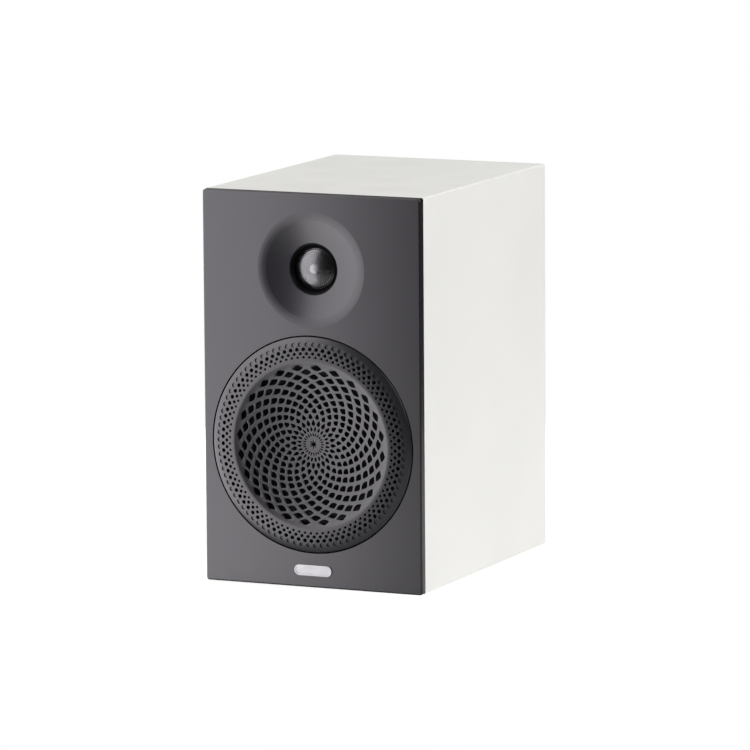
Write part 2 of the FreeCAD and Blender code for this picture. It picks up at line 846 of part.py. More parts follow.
def surround():
    """Half-roll rubber edge between the frame's flange and the cone's rim."""
    t = surround_thickness
    seat = frame_front - t
    crown = (surround_roll_outer + surround_roll_inner) / 2
    edges = [
        line((surround_seat_outer, seat), (surround_roll_outer, seat)),
        arc((surround_roll_outer, seat), (crown, seat - surround_rise), (surround_roll_inner, seat)),
        line((surround_roll_inner, seat), (surround_seat_inner, seat)),
        line((surround_seat_inner, seat), (surround_seat_inner, seat + t)),
        line((surround_seat_inner, seat + t), (surround_roll_inner + t, seat + t)),
        arc((surround_roll_inner + t, seat + t), (crown, seat - surround_rise + t),
            (surround_roll_outer - t, seat + t)),
        line((surround_roll_outer - t, seat + t), (surround_seat_outer, seat + t)),
        line((surround_seat_outer, seat + t), (surround_seat_outer, seat)),
    ]
    write("woofer_surround", turned(edges, 0, woofer_height))


def cone_front(r):
    """Depth of the cone's front surface: a shallow flare from rim to neck."""
    rim_y = frame_front
    share = (cone_radius - r) / (cone_radius - former_outer)
    return rim_y + (cone_neck_y - rim_y) * share ** 1.12


def cone():
    t = cone_thickness
    middle = (surround_seat_inner + former_outer) / 2
    flat = surround_seat_inner
    edges = [
        line((cone_radius, frame_front), (flat, frame_front)),
        arc((flat, frame_front), (middle, cone_front(middle)), (former_outer, cone_neck_y)),
        line((former_outer, cone_neck_y), (former_outer, cone_neck_y + t)),
        arc((former_outer, cone_neck_y + t), (middle, cone_front(middle) + t), (flat, frame_front + t)),
        line((flat, frame_front + t), (cone_radius, frame_front + t)),
        line((cone_radius, frame_front + t), (cone_radius, frame_front)),
    ]
    write("woofer_cone", turned(edges, 0, woofer_height))
    rim = cone_surface(dust_cap_radius) - dust_cap_thickness - 0.1
    write("dust_cap", dome_shell(dust_cap_radius, rim, dust_cap_rise, dust_cap_thickness, 0, woofer_height))


def cone_surface(r):
    """Depth of the arc through the cone's rim, middle and neck at radius r."""
    flat = surround_seat_inner
    middle = (flat + former_outer) / 2
    curve = arc((flat, frame_front), (middle, cone_front(middle)), (former_outer, cone_neck_y))
    probe = Part.LineSegment(Vec(r, -50, 0), Vec(r, 100, 0)).toShape()
    return curve.distToShape(probe)[1][0][0].y


def voice_coil():
    former = ring(former_outer, former_inner, cone_neck_y - 3.0, former_back, 0, woofer_height)
    write("voice_coil_former", former)
    half = coil_length / 2
    coil = ring(coil_outer, former_outer, coil_middle - half, coil_middle + half, 0, woofer_height)
    write("voice_coil", coil)


def spider():
    """Corrugated fabric disc that centres the coil."""
    inner = former_outer
    count = spider_waves * 2
    step = (ledge_inner - spider_land_margin - inner - spider_neck) / count
    front, back = [], []
    r = inner + spider_neck
    front.append(line((inner, spider_y), (r, spider_y)))
    for i in range(count):
        rise = spider_wave if i % 2 else -spider_wave
        a, b, c = (r, spider_y), (r + step / 2, spider_y + rise), (r + step, spider_y)
        front.append(arc(a, b, c))
        r += step
    front.append(line((r, spider_y), (spider_radius, spider_y)))
    t = spider_thickness
    for edge in reversed(front):
        copy = edge.copy()
        copy.translate(Vec(0, t, 0))
        back.append(copy)
    sides = [
        line((spider_radius, spider_y), (spider_radius, spider_y + t)),
        line((inner, spider_y + t), (inner, spider_y)),
    ]
    write("woofer_spider", turned(front + [sides[0]] + back + [sides[1]], 0, woofer_height))


def woofer_motor():
    z = woofer_height
    write("top_plate", ring(top_plate_radius, top_plate_bore, frame_floor_back, top_plate_back, 0, z))
    magnet = ring(magnet_ring_radius, magnet_ring_bore, top_plate_back, magnet_ring_back, 0, z)
    write("ferrite_magnet", magnet)
    back = magnet_ring_back + back_plate_thickness
    yoke = disc(back_plate_radius, magnet_ring_back, back, 0, z)
    pole = disc(pole_radius, frame_floor_back, magnet_ring_back + 1, 0, z)
    vent = disc(pole_vent_radius, frame_floor_back - 1, back + 1, 0, z)
    write("pole_and_back_plate", yoke.fuse(pole).cut(vent).removeSplitter())


def strip_centre():
    """Middle of the woofer's terminal strip, on the back of the flange, straight below the axis."""
    return woofer_height - frame_foot_radius - frame_wall, frame_floor_back - strip_height / 2


def woofer_terminals():
    z, y = strip_centre()
    strip = block(-strip_width / 2, strip_width / 2, y - strip_height / 2, y + strip_height / 2,
                  z - strip_thickness, z + 0.2)
    strip = strip.cut(disc(frame_foot_radius + frame_wall, 0, 100, 0, woofer_height))
    write("woofer_terminal_strip", strip)


def woofer_tags():
    z, y = strip_centre()
    low = z - strip_thickness
    places = (-wire_pair_gap, wire_pair_gap)
    return [block(x - 1.6, x + 1.6, y - 4, y + 4, low - tag_thickness, low) for x in places]


# ================================================================ tweeter
def tweeter_screw_places():
    return around(tweeter_screws, tweeter_screw_circle, 0, tweeter_height, start=60.0)


def tweeter_face():
    z = tweeter_height
    plate = ring(faceplate_radius, faceplate_bore, faceplate_front, faceplate_back, 0, z)
    hole = tweeter_screw_radius + screw_hole_clearance
    holes = [disc(hole, 0, faceplate_back + 1, x, y) for x, y in tweeter_screw_places()]
    write("tweeter_faceplate", plate.cut(holes))
    screws = []
    for x, y in tweeter_screw_places():
        screw = pan_screw(0, tweeter_screw_length, tweeter_screw_radius, x, y)
        screw.rotate(Vec(x, 0, y), Vec(0, 0, 1), 180)
        screw.translate(Vec(0, faceplate_back, 0))
        screws.append(screw)
    write("tweeter_screws", Part.makeCompound(screws))
    outer = throat_radius - collar_clearance
    collar = turned([
        line((outer, collar_front), (outer, lens_flange_front)),
        line((outer, lens_flange_front), (collar_radius, lens_flange_front)),
        line((collar_radius, lens_flange_front), (collar_radius, lens_flange_front - 1.5)),
        arc((collar_radius, lens_flange_front - 1.5), (collar_radius + 0.9, collar_front + 2.2),
            (outer - 0.5, collar_front)),
        line((outer - 0.5, collar_front), (outer, collar_front)),
    ], 0, z)
    write("tweeter_collar", collar)


def tweeter_lens():
    """Perforated metal dome: a fine spiral of round holes, with a flat rim."""
    z = tweeter_height
    shell = dome_shell(
        tweeter_lens_radius, lens_flange_front, tweeter_lens_rise, tweeter_lens_thickness, 0, z
    )
    rim = ring(tweeter_lens_flange, tweeter_lens_radius - 0.5, lens_flange_front, lens_flange_back, 0, z)
    shell = shell.fuse(rim).removeSplitter()
    front = lens_flange_front - tweeter_lens_rise - 1
    holes = [disc(tweeter_hole_radius, front, lens_flange_back + 1, 0, z)]
    for row in range(1, tweeter_lens_rows + 1):
        radius = row * tweeter_lens_pitch
        count = 6 * row
        for x, y in around(count, radius, 0, z, start=row * 12.0):
            holes.append(disc(tweeter_hole_radius, front, lens_flange_back + 1, x, y))
    write("tweeter_lens", shell.cut(Part.makeCompound(holes)))


def tweeter_moving_parts():
    z = tweeter_height
    write("tweeter_dome", dome_shell(dome_radius, dome_base, dome_rise, dome_thickness, 0, z))
    t = dome_surround_thickness
    middle = (dome_radius + dome_surround_roll) / 2
    crown = dome_base - dome_surround_rise
    edges = [
        line((dome_surround_outer, dome_base), (dome_surround_roll, dome_base)),
        arc((dome_surround_roll, dome_base), (middle, crown), (dome_radius, dome_base)),
        line((dome_radius, dome_base), (dome_radius, dome_base + t)),
        arc((dome_radius, dome_base + t), (middle, crown + t), (dome_surround_roll, dome_base + t)),
        line((dome_surround_roll, dome_base + t), (dome_surround_outer, dome_base + t)),
        line((dome_surround_outer, dome_base + t), (dome_surround_outer, dome_base)),
    ]
    write("tweeter_surround", turned(edges, 0, z))
    start = dome_base + t
    write("tweeter_former", ring(dome_radius, dome_former_inner, start, start + dome_former_length, 0, z))
    coil_start = faceplate_back + (tweeter_plate_thickness - dome_coil_length) / 2
    write("tweeter_coil", ring(dome_coil_outer, dome_radius, coil_start, coil_start + dome_coil_length, 0, z))


def tweeter_motor():
    z = tweeter_height
    bore = dome_coil_outer + dome_gap
    write("tweeter_top_plate", ring(tweeter_plate_radius, bore, faceplate_back, tweeter_plate_back, 0, z))
    magnet = ring(tweeter_plate_radius, tweeter_magnet_bore, tweeter_plate_back, tweeter_magnet_back, 0, z)
    write("tweeter_magnet", magnet)
    yoke = disc(tweeter_plate_radius, tweeter_magnet_back, tweeter_yoke_back, 0, z)
    pole = disc(dome_pole_radius, faceplate_back + 0.5, tweeter_magnet_back + 1, 0, z)
    vent = disc(tweeter_yoke_vent, faceplate_back, tweeter_yoke_back + 1, 0, z)
    write("tweeter_yoke", yoke.fuse(pole).cut(vent).removeSplitter())
    back = tweeter_yoke_back + chamber_depth
    cup = disc(chamber_radius, tweeter_yoke_back, back, 0, z)
    rim = [e for e in cup.Edges if abs(e.CenterOfMass.y - back) < 0.01 and e.Length > chamber_radius]
    cup = cup.makeFillet(3.0, rim)
    hollow = disc(chamber_radius - chamber_wall, tweeter_yoke_back - 1, back - chamber_wall, 0, z)
    write("tweeter_rear_chamber", cup.cut(hollow))


def tweeter_tags():
    low = tweeter_height - faceplate_radius + 1.0
    places = (-wire_pair_gap, wire_pair_gap)
    back = faceplate_back + 6
    return [block(x - 1.4, x + 1.4, faceplate_back, back, low, low + tag_thickness) for x in places]


# ================================================================ port
def port():
    """Reflex port: one moulded tube, flared at both ends, with its flange on the rear panel."""
    r, w, f = port_radius, port_wall, port_flare
    face = rear_face + port_flange_thickness
    bend = 1 - math.sqrt(0.5)
    start = face - port_length
    outer = r + w
    skin = f - w
    edges = [
        arc((r + f, start), (r + f * bend, start + f * bend), (r, start + f)),
        line((r, start + f), (r, face - f)),
        arc((r, face - f), (r + f * bend, face - f * bend), (r + f, face)),
        line((r + f, face), (port_flange_radius - 0.8, face)),
        line((port_flange_radius - 0.8, face), (port_flange_radius, face - 0.8)),
        line((port_flange_radius, face - 0.8), (port_flange_radius, rear_face)),
        line((port_flange_radius, rear_face), (r + f, rear_face)),
        arc((r + f, rear_face), (outer + skin * bend, rear_face - skin * bend), (outer, rear_face - skin)),
        line((outer, rear_face - skin), (outer, start + f)),
        arc((outer, start + f), (outer + skin * bend, start + w + skin * bend), (r + f, start + w)),
        line((r + f, start + w), (r + f, start)),
    ]
    write("port_tube", turned(edges, 0, port_height))


# ================================================================ terminal cup
def cup_screw_places():
    side = cup_width / 2 + cup_wall + cup_flange / 2 - 1
    up = cup_tall / 2 + cup_wall + cup_flange / 2 - 1
    return [(sx * (side - 2), cup_height + sz * (up - 2)) for sx in (-1, 1) for sz in (-1, 1)]


def terminal_cup():
    wide = cup_width + 2 * (cup_wall + cup_flange)
    tall = cup_tall + 2 * (cup_wall + cup_flange)
    flange_front = cup_face - cup_flange_thickness
    flange = rounded_plate(wide, tall, cup_corner, flange_front, cup_face, 0, cup_height)
    rim = [e for e in flange.Edges if abs(e.CenterOfMass.y - cup_face) < 0.01]
    flange = flange.makeFillet(0.8, rim)
    body_front = cup_floor_y - cup_floor
    body = rounded_plate(
        cup_width + 2 * cup_wall, cup_tall + 2 * cup_wall, cup_corner + cup_wall,
        body_front, flange_front + 0.5, 0, cup_height,
    )
    hollow = rounded_plate(cup_width, cup_tall, cup_corner, cup_floor_y, cup_face + 1, 0, cup_height)
    floor_rim = [e for e in hollow.Edges if abs(e.CenterOfMass.y - cup_floor_y) < 0.01]
    hollow = hollow.makeFillet(4.0, floor_rim)
    cuts = [hollow]
    for x, z in cup_screw_places():
        cuts.append(disc(cup_screw_radius + screw_hole_clearance, flange_front - 1, cup_face + 1, x, z))
        cone_cut = Part.makeCone(
            cup_screw_radius, cup_screw_head_radius + 0.2, cup_screw_head_depth + 0.1,
            Vec(x, cup_face - cup_screw_head_depth, z), Vec(0, 1, 0),
        )
        cuts.append(cone_cut)
    post_hole = post_stud_radius + post_hole_clearance
    for x in post_places.values():
        cuts.append(disc(post_hole, body_front - 1, cup_floor_y + 1, x, cup_height))
    write("terminal_cup", flange.fuse(body).cut(cuts).removeSplitter())

    gasket = rounded_plate(wide - 1, tall - 1, cup_corner, rear_face, flange_front, 0, cup_height)
    inner = rounded_plate(
        cup_width + 2 * (cup_wall + cup_clearance), cup_tall + 2 * (cup_wall + cup_clearance),
        cup_corner + cup_wall + cup_clearance, rear_face - 1, flange_front + 1, 0, cup_height,
    )
    holes = [disc(cup_screw_radius + screw_hole_clearance, rear_face - 1, cup_face, x, z)
             for x, z in cup_screw_places()]
    write("terminal_gasket", gasket.cut([inner] + holes))

    screws = []
    for x, z in cup_screw_places():
        head = Part.makeCone(
            cup_screw_radius, cup_screw_head_radius, cup_screw_head_depth,
            Vec(x, cup_face - cup_screw_head_depth, z), Vec(0, 1, 0),
        )
        shank = disc(cup_screw_radius, cup_face - cup_screw_length, cup_face - cup_screw_head_depth, x, z)
        screw = head.fuse(shank)
        arm, slot = cup_screw_head_radius * 0.6, 0.4
        screw = screw.cut([
            block(x - arm, x + arm, cup_face - 1, cup_face + 1, z - slot, z + slot),
            block(x - slot, x + slot, cup_face - 1, cup_face + 1, z - arm, z + arm),
        ])
        screws.append(screw.removeSplitter())
    write("terminal_screws", Part.makeCompound(screws))


def binding_post(label, x):
    z = cup_height
    base = cup_floor_y
    stud_end = base + post_stud_length
    stud = disc(post_stud_radius, base - cup_floor - post_stud_inner, stud_end, x, z)
    collar = disc(post_collar_radius, base, base + post_collar_length, x, z)
    bore = disc(post_bore_radius, stud_end - post_bore_length, stud_end + 1, x, z)
    hole_y = base + post_wire_hole_place
    wire_hole = Part.makeCylinder(post_wire_hole_radius, 20, Vec(x, hole_y, z - 10), Vec(0, 0, 1))
    write(f"{label}_post", stud.fuse(collar).cut([bore, wire_hole]).removeSplitter())

    washer_front = base + post_collar_length + post_face_gap
    washer_back = washer_front + post_washer_thickness
    washer_bore = post_stud_radius + post_washer_clearance
    washer = ring(post_collar_radius, washer_bore, washer_front, washer_back, x, z)
    write(f"{label}_clamp_washer", washer)

    cap_front = washer_back + post_face_gap
    cap_back = cap_front + post_cap_length
    cap = disc(post_cap_radius, cap_front, cap_back, x, z)
    rims = [e for e in cap.Edges if abs(e.CenterOfMass.y - cap_back) < 0.01 and e.Length > post_cap_radius]
    cap = cap.makeFillet(post_edge_round, rims)
    bore_end = cap_back - post_end_wall
    ring_front = cap_front + post_ring_start
    ring_back = ring_front + post_ring_width
    cuts = [
        disc(post_stud_radius + post_thread_clearance, cap_front - 1, bore_end, x, z),
        disc(post_mouth_radius, bore_end - 1, cap_back + 1, x, z),
        ring(post_cap_radius + 1, post_cap_radius - post_ring_depth, ring_front, ring_back, x, z),
    ]
    flute_front, flute_back = cap_front + post_flute_start, ring_front - post_flute_end_gap
    for kx, kz in around(post_flutes, post_cap_radius, x, z):
        cuts.append(disc(post_flute_radius, flute_front, flute_back, kx, kz))
    write(f"{label}_cap", cap.cut(cuts))
    band = ring(post_cap_radius, post_cap_radius - post_ring_depth, ring_front, ring_back, x, z)
    write(f"{label}_cap_band", band)


def post_fixings():
    floor_back = cup_floor_y - cup_floor
    lugs, nuts = [], []
    for x in post_places.values():
        z = cup_height
        hole = disc(post_stud_radius + post_hole_clearance, 0, rear_face, x, z)
        lug_front = floor_back - lug_thickness
        lug = disc(lug_radius, lug_front, floor_back, x, z)
        tab = block(x - lug_width / 2, x + lug_width / 2, lug_front, floor_back, z - lug_length, z)
        lugs.append(lug.fuse(tab).cut(hole).removeSplitter())
        corner = nut_across / math.sqrt(3)
        start = lug_front - nut_thickness
        corners = [Vec(cx, start, cz) for cx, cz in around(6, corner, x, z)]
        hexagon = Part.Face(Part.makePolygon(corners + corners[:1]))
        nuts.append(hexagon.extrude(Vec(0, nut_thickness, 0)).cut(hole))
    write("solder_tags", Part.makeCompound(lugs + woofer_tags() + tweeter_tags()))
    write("post_nuts", Part.makeCompound(nuts))


# ================================================================ crossover
def upright_cylinder(radius, low, high, x, y):
    return Part.makeCylinder(radius, high - low, Vec(x, y, low))


def board_corner_places():
    side = board_length / 2 - board_hole_inset
    near = board_front + board_hole_inset
    far = board_back - board_hole_inset
    return [(sx * side, y) for sx in (-1, 1) for y in (near, far)]


def coil_places():
    """Bass and treble inductors: middle x, y, outer radius, height and bore."""
    middle = (board_front + board_back) / 2
    bass_x = bass_coil_inset + bass_coil_radius - board_length / 2
    treble_x = board_length / 2 - treble_coil_radius - treble_coil_inset
    return (
        (bass_x, middle, bass_coil_radius, bass_coil_height, bass_coil_bore),
        (treble_x, middle + treble_coil_inset, treble_coil_radius, treble_coil_height, treble_coil_bore),
    )


def crossover():
    board = block(-board_length / 2, board_length / 2, board_front, board_back, board_bottom, board_top)
    holes = [upright_cylinder(board_screw_radius + screw_hole_clearance, 0, 60, x, y)
             for x, y in board_corner_places()]
    write("crossover_board", board.cut(holes))

    spacers, screws = [], []
    for x, y in board_corner_places():
        tube = upright_cylinder(spacer_radius, inner_bottom, board_bottom, x, y)
        bore = upright_cylinder(board_screw_radius + screw_hole_clearance, 0, 60, x, y)
        spacers.append(tube.cut(bore))
        shank = upright_cylinder(board_screw_radius, inner_bottom + 0.5, board_top, x, y)
        head = upright_cylinder(board_screw_radius * 2, board_top, board_top + board_screw_radius, x, y)
        slot = block(x - 4, x + 4, y - 0.4, y + 0.4, board_top + 0.7, board_top + 4)
        screws.append(shank.fuse(head).cut(slot).removeSplitter())
    write("board_spacers", Part.makeCompound(spacers))
    write("board_screws", Part.makeCompound(screws))

    bobbins, windings = [], []
    for x, y, radius, height, bore in coil_places():
        low, high = board_top, board_top + height
        spool = upright_cylinder(bore + bobbin_wall, low, high, x, y)
        flanges = [
            upright_cylinder(radius, low, low + bobbin_wall, x, y),
            upright_cylinder(radius, high - bobbin_wall, high, x, y),
        ]
        hole = upright_cylinder(bore, low - 1, high + 1, x, y)
        bobbins.append(spool.multiFuse(flanges).cut(hole).removeSplitter())
        winding = upright_cylinder(radius - 1, low + bobbin_wall, high - bobbin_wall, x, y)
        windings.append(winding.cut(upright_cylinder(bore + bobbin_wall, low - 1, high + 1, x, y)))
    write("inductor_bobbins", Part.makeCompound(bobbins))
    write("inductor_windings", Part.makeCompound(windings))

    cans = []
    first = board_front + capacitor_front
    for i in range(3):
        y = first + i * (2 * capacitor_radius + capacitor_gap)
        end = Vec(capacitor_start, y, board_top + capacitor_radius)
        can = Part.makeCylinder(capacitor_radius, capacitor_length, end, Vec(1, 0, 0))
        rims = [e for e in can.Edges if e.Length > 3 * capacitor_radius and len(e.Vertexes) == 1]
        cans.append(can.makeFillet(can_round, rims))
    write("capacitors", Part.makeCompound(cans))
    bricks = []
    for i in range(2):
        x = board_length / 2 - resistor_length - resistor_inset
        y = board_front + resistor_front + i * (resistor_side + resistor_gap)
        brick = block(x, x + resistor_length, y, y + resistor_side, board_top, board_top + resistor_side)
        bricks.append(brick.makeFillet(brick_round, brick.Edges))
    write("resistors", Part.makeCompound(bricks))


def wiring():
    """Three pairs of insulated leads, from the posts, to the woofer and to the tweeter."""
    inputs, bass, treble = [], [], []
    lug_low = cup_height - lug_length
    lug_y = cup_floor_y - cup_floor - lug_thickness - wire_radius
    for x in post_places.values():
        end = board_back - 8
        inputs.append(wire_tube([
            (x, lug_y, lug_low + 3),
            (x, lug_y, lug_low - 8),
            (x * 0.8, (lug_y + end) / 2, (lug_low + board_top) / 2 - 2),
            (x * 0.7, end, board_top + 12),
            (x * 0.7, end, board_top),
        ]))
    tag_z, tag_y = strip_centre()
    tag_z -= strip_thickness + tag_thickness + wire_radius
    start = board_front + 6
    for sign in (-1, 1):
        x = sign * wire_pair_gap
        bass.append(wire_tube([
            (x, tag_y - 2, tag_z),
            (x, tag_y + 14, tag_z),
            (x, tag_y + 34, tag_z - 14),
            (x, brace_setback - 14, inner_bottom + brace_rail + 8),
            (x, brace_setback + brace_thickness + 4, inner_bottom + brace_rail + 8),
            (x, start, board_top + 14),
            (x, start, board_top),
        ]))
        shift = 40 + sign * wire_pair_gap / 2
        tweeter_z = tweeter_height - faceplate_radius + 1.0 - wire_radius
        treble.append(wire_tube([
            (x, faceplate_back + 3, tweeter_z),
            (x, faceplate_back + 14, tweeter_z),
            (x + 16, faceplate_back + 34, tweeter_z - 12),
            (shift, brace_setback - 30, tweeter_z - 24),
            (shift, brace_setback - 12, tweeter_z - 34),
            (shift, brace_setback + brace_thickness + 8, tweeter_z - 52),
            (shift, start + 2, tweeter_z - 84),
            (shift + 1.5, start + 4, tweeter_z - 130),
            (shift, start + 2, board_top + 45),
            (shift, start + 2, board_top),
        ]))
    write("wiring_loom", Part.makeCompound(inputs + bass + treble))


def tinsel_leads():
    """Two short braids from the terminal tags' side of the frame to the cone's neck."""
    leads = []
    for sign in (-1, 1):
        x = sign * wire_pair_gap
        low = woofer_height - frame_foot_radius + frame_wall + wire_radius
        leads.append(wire_tube([
            (x, spider_y + 7, low),
            (x, spider_y + 4, low + 8),
            (x, spider_y + 5.2, low + 18),
            (x, spider_y + 4.2, woofer_height - former_outer - wire_radius - 1.0),
        ]))
    write("tinsel_leads", Part.makeCompound(leads))


# ================================================================ build
os.makedirs("parts", exist_ok=True)
wall_panels()
rear_panel()
front_board()
brace()
linings()
front_cover()
badge()
cover_magnets()
woofer_frame()
woofer_fixings()
surround()
cone()
voice_coil()
spider()
woofer_motor()
woofer_terminals()
tinsel_leads()
tweeter_face()
tweeter_lens()
tweeter_moving_parts()
tweeter_motor()
port()
terminal_cup()
for post_label, post_x in post_places.items():
    binding_post(post_label, post_x)
post_fixings()
crossover()
wiring()
woofer_lens()
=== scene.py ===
import json
import math

import bmesh
import bpy
import numpy as np
from mathutils import Matrix, Vector


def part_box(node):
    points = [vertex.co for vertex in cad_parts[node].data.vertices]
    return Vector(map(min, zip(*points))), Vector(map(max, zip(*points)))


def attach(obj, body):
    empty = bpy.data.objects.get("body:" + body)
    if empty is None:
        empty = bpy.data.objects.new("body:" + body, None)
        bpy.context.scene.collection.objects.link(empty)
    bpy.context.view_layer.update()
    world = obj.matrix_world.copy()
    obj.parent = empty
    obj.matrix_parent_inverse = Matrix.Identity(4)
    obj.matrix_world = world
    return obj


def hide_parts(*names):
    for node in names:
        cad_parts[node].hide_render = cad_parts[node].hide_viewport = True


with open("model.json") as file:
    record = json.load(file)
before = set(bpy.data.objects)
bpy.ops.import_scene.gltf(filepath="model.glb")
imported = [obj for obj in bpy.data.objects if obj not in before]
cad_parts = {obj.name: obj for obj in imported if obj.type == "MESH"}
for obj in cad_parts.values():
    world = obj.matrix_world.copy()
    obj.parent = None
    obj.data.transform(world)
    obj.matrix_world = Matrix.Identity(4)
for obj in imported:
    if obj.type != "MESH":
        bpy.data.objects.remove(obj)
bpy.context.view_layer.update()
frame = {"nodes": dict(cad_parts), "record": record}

MM = 0.001
nodes = frame["nodes"]
record = frame["record"]
slot_of = {part["node"]: part["material_slot"] for part in record["subparts"]}


def around(count):
    """Even angles that fill a turn, from zero."""
    return 2 * math.pi * np.arange(count) / count


# ---------------------------------------------------------------- places from the frame
cover_low, cover_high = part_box("front_cover")
lens_low, lens_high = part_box("woofer_lens")
tweeter_low, tweeter_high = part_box("tweeter_lens")
FACE_Y = cover_low.y                       # front cover's face
WOOFER = Vector(((lens_low.x + lens_high.x) / 2, 0, (lens_low.z + lens_high.z) / 2))
TWEETER = Vector(((tweeter_low.x + tweeter_high.x) / 2, 0, (tweeter_low.z + tweeter_high.z) / 2))


# ================================================================ material helpers
NOISE_BAND = (0.3, 0.7)           # where most of a noise texture's values lie
COAT_ROUGHNESS = 0.1


class Material:
    """A Principled material and the few procedural layers that the pieces need."""

    def __init__(self, name, colour, roughness, metallic=0.0, specular=0.5, coat=0.0):
        self.material = bpy.data.materials.new(name)
        self.material.use_nodes = True
        self.tree = self.material.node_tree
        self.shader = self.tree.nodes["Principled BSDF"]
        self.set("Base Color", (*colour, 1.0))
        self.set("Roughness", roughness)
        self.set("Metallic", metallic)
        self.set("Specular IOR Level", specular)
        self.set("Coat Weight", coat)
        self.set("Coat Roughness", COAT_ROUGHNESS)
        self.colour = colour
        self.roughness = roughness
        self.place = self.node("ShaderNodeTexCoord").outputs["Object"]
        self.normal = None

    def set(self, socket, value):
        self.shader.inputs[socket].default_value = value

    def node(self, kind, **settings):
        made = self.tree.nodes.new(kind)
        for key, value in settings.items():
            setattr(made, key, value)
        return made

    def link(self, a, b):
        self.tree.links.new(a, b)

    def noise(self, scale, detail=2.0, rough=0.5, stretch=None, distortion=0.0):
        """Noise in the object's own space, with scale in features per metre."""
        made = self.node("ShaderNodeTexNoise")
        made.inputs["Scale"].default_value = scale
        made.inputs["Detail"].default_value = detail
        made.inputs["Roughness"].default_value = rough
        made.inputs["Distortion"].default_value = distortion
        place = self.place
        if stretch is not None:
            mapping = self.node("ShaderNodeMapping")
            mapping.inputs["Scale"].default_value = stretch
            self.link(self.place, mapping.inputs["Vector"])
            place = mapping.outputs["Vector"]
        self.link(place, made.inputs["Vector"])
        return made.outputs["Fac"]

    def cells(self, scale, feature="F1"):
        """Small rounded cells."""
        made = self.node("ShaderNodeTexVoronoi", feature=feature)
        made.inputs["Scale"].default_value = scale
        self.link(self.place, made.inputs["Vector"])
        return made.outputs["Distance"]

    def bands(self, direction, scale, distortion, detail=2.0):
        """Waves across one direction, each 2 pi / (20 scale) metres wide."""
        made = self.node("ShaderNodeTexWave", wave_type="BANDS", bands_direction=direction)
        made.inputs["Scale"].default_value = scale
        made.inputs["Distortion"].default_value = distortion
        made.inputs["Detail"].default_value = detail
        self.link(self.place, made.inputs["Vector"])
        return made.outputs["Fac"]

    def spread(self, value, low, high, source=NOISE_BAND):
        """Turns a value in the source range into one from low to high."""
        made = self.node("ShaderNodeMapRange")
        made.inputs["From Min"].default_value = source[0]
        made.inputs["From Max"].default_value = source[1]
        made.inputs["To Min"].default_value = low
        made.inputs["To Max"].default_value = high
        self.link(value, made.inputs["Value"])
        return made.outputs["Result"]

    def bump(self, height, distance, strength=1.0):
        """Adds a bump layer on top of those made before."""
        made = self.node("ShaderNodeBump")
        made.inputs["Distance"].default_value = distance
        made.inputs["Strength"].default_value = strength
        self.link(height, made.inputs["Height"])
        if self.normal is not None:
            self.link(self.normal, made.inputs["Normal"])
        self.normal = made.outputs["Normal"]
        self.link(self.normal, self.shader.inputs["Normal"])

    def tint(self, value, low, high):
        """Base colour runs from low to high as a value crosses the noise band."""
        ramp = self.node("ShaderNodeValToRGB")
        for stop, position, colour in zip(ramp.color_ramp.elements, NOISE_BAND, (low, high)):
            stop.position = position
            stop.color = (*colour, 1.0)
        self.link(value, ramp.inputs["Fac"])
        self.link(ramp.outputs["Color"], self.shader.inputs["Base Color"])

    def vary(self, scale, amount):
        """Gentle light and dark patches in the base colour."""
        low = tuple(c * (1 - amount) for c in self.colour)
        high = tuple(min(1.0, c * (1 + amount)) for c in self.colour)
        self.tint(self.noise(scale, 3.0), low, high)

    def uneven(self, scale, amount):
        """Roughness that drifts over the surface."""
        low, high = self.roughness - amount, self.roughness + amount
        self.link(self.spread(self.noise(scale), low, high), self.shader.inputs["Roughness"])


def moulded(name, colour, roughness, grain=1600, depth=0.02, specular=0.5, patch=9, drift=0.04):
    """Injection-moulded plastic. Grain and patch are the features per metre of its surface and of its
    colour, depth is the grain's in millimetres and drift is how far the roughness wanders."""
    m = Material(name, colour, roughness, specular=specular)
    m.vary(patch, 0.05)
    if drift:
        m.uneven(60, drift)
    m.bump(m.noise(grain, 3.0, 0.6), depth * MM)
    return m.material


def plated(name, colour, roughness):
    """Metal with fine random scratches and small changes of gloss."""
    m = Material(name, colour, roughness, metallic=1.0)
    m.vary(45, 0.05)
    m.uneven(160, 0.05)
    m.bump(m.noise(420, 4.0, 0.7, stretch=(1.0, 7.0, 1.0)), 0.004 * MM)
    return m.material


def powder_coat():
    """Black powder coat with its fine orange peel."""
    m = Material("frame_powder_coat", (0.007, 0.007, 0.008), 0.6, specular=0.15)
    m.vary(25, 0.08)
    m.uneven(90, 0.05)
    m.bump(m.cells(900, "SMOOTH_F1"), 0.03 * MM)
    return m.material


def vinyl_wrap():
    """Satin white vinyl over board: faint emboss, very slight waviness and mottling."""
    m = Material("white_vinyl", (0.86, 0.86, 0.85), 0.48, specular=0.28)
    m.tint(m.noise(5.0, 2.0), (0.835, 0.838, 0.83), (0.875, 0.875, 0.866))
    m.uneven(30, 0.04)
    m.bump(m.cells(1500, "SMOOTH_F1"), 0.012 * MM)
    m.bump(m.noise(14, 2.0), 0.12 * MM, 0.15)
    return m.material


def fibreboard():
    """Raw board: flecked fibres."""
    m = Material("raw_board", (0.42, 0.29, 0.17), 0.85, specular=0.2)
    m.tint(m.noise(1400, 5.0, 0.75, stretch=(1.0, 0.35, 1.0)), (0.30, 0.20, 0.11), (0.52, 0.37, 0.23))
    m.bump(m.noise(2200, 4.0, 0.7), 0.05 * MM)
    return m.material


def painted_board():
    """Board with a thin matt black coat, so that nothing shows through the lens."""
    m = Material("painted_board", (0.006, 0.006, 0.006), 0.85, specular=0.1)
    m.vary(300, 0.2)
    m.bump(m.noise(2200, 4.0, 0.7), 0.04 * MM)
    return m.material


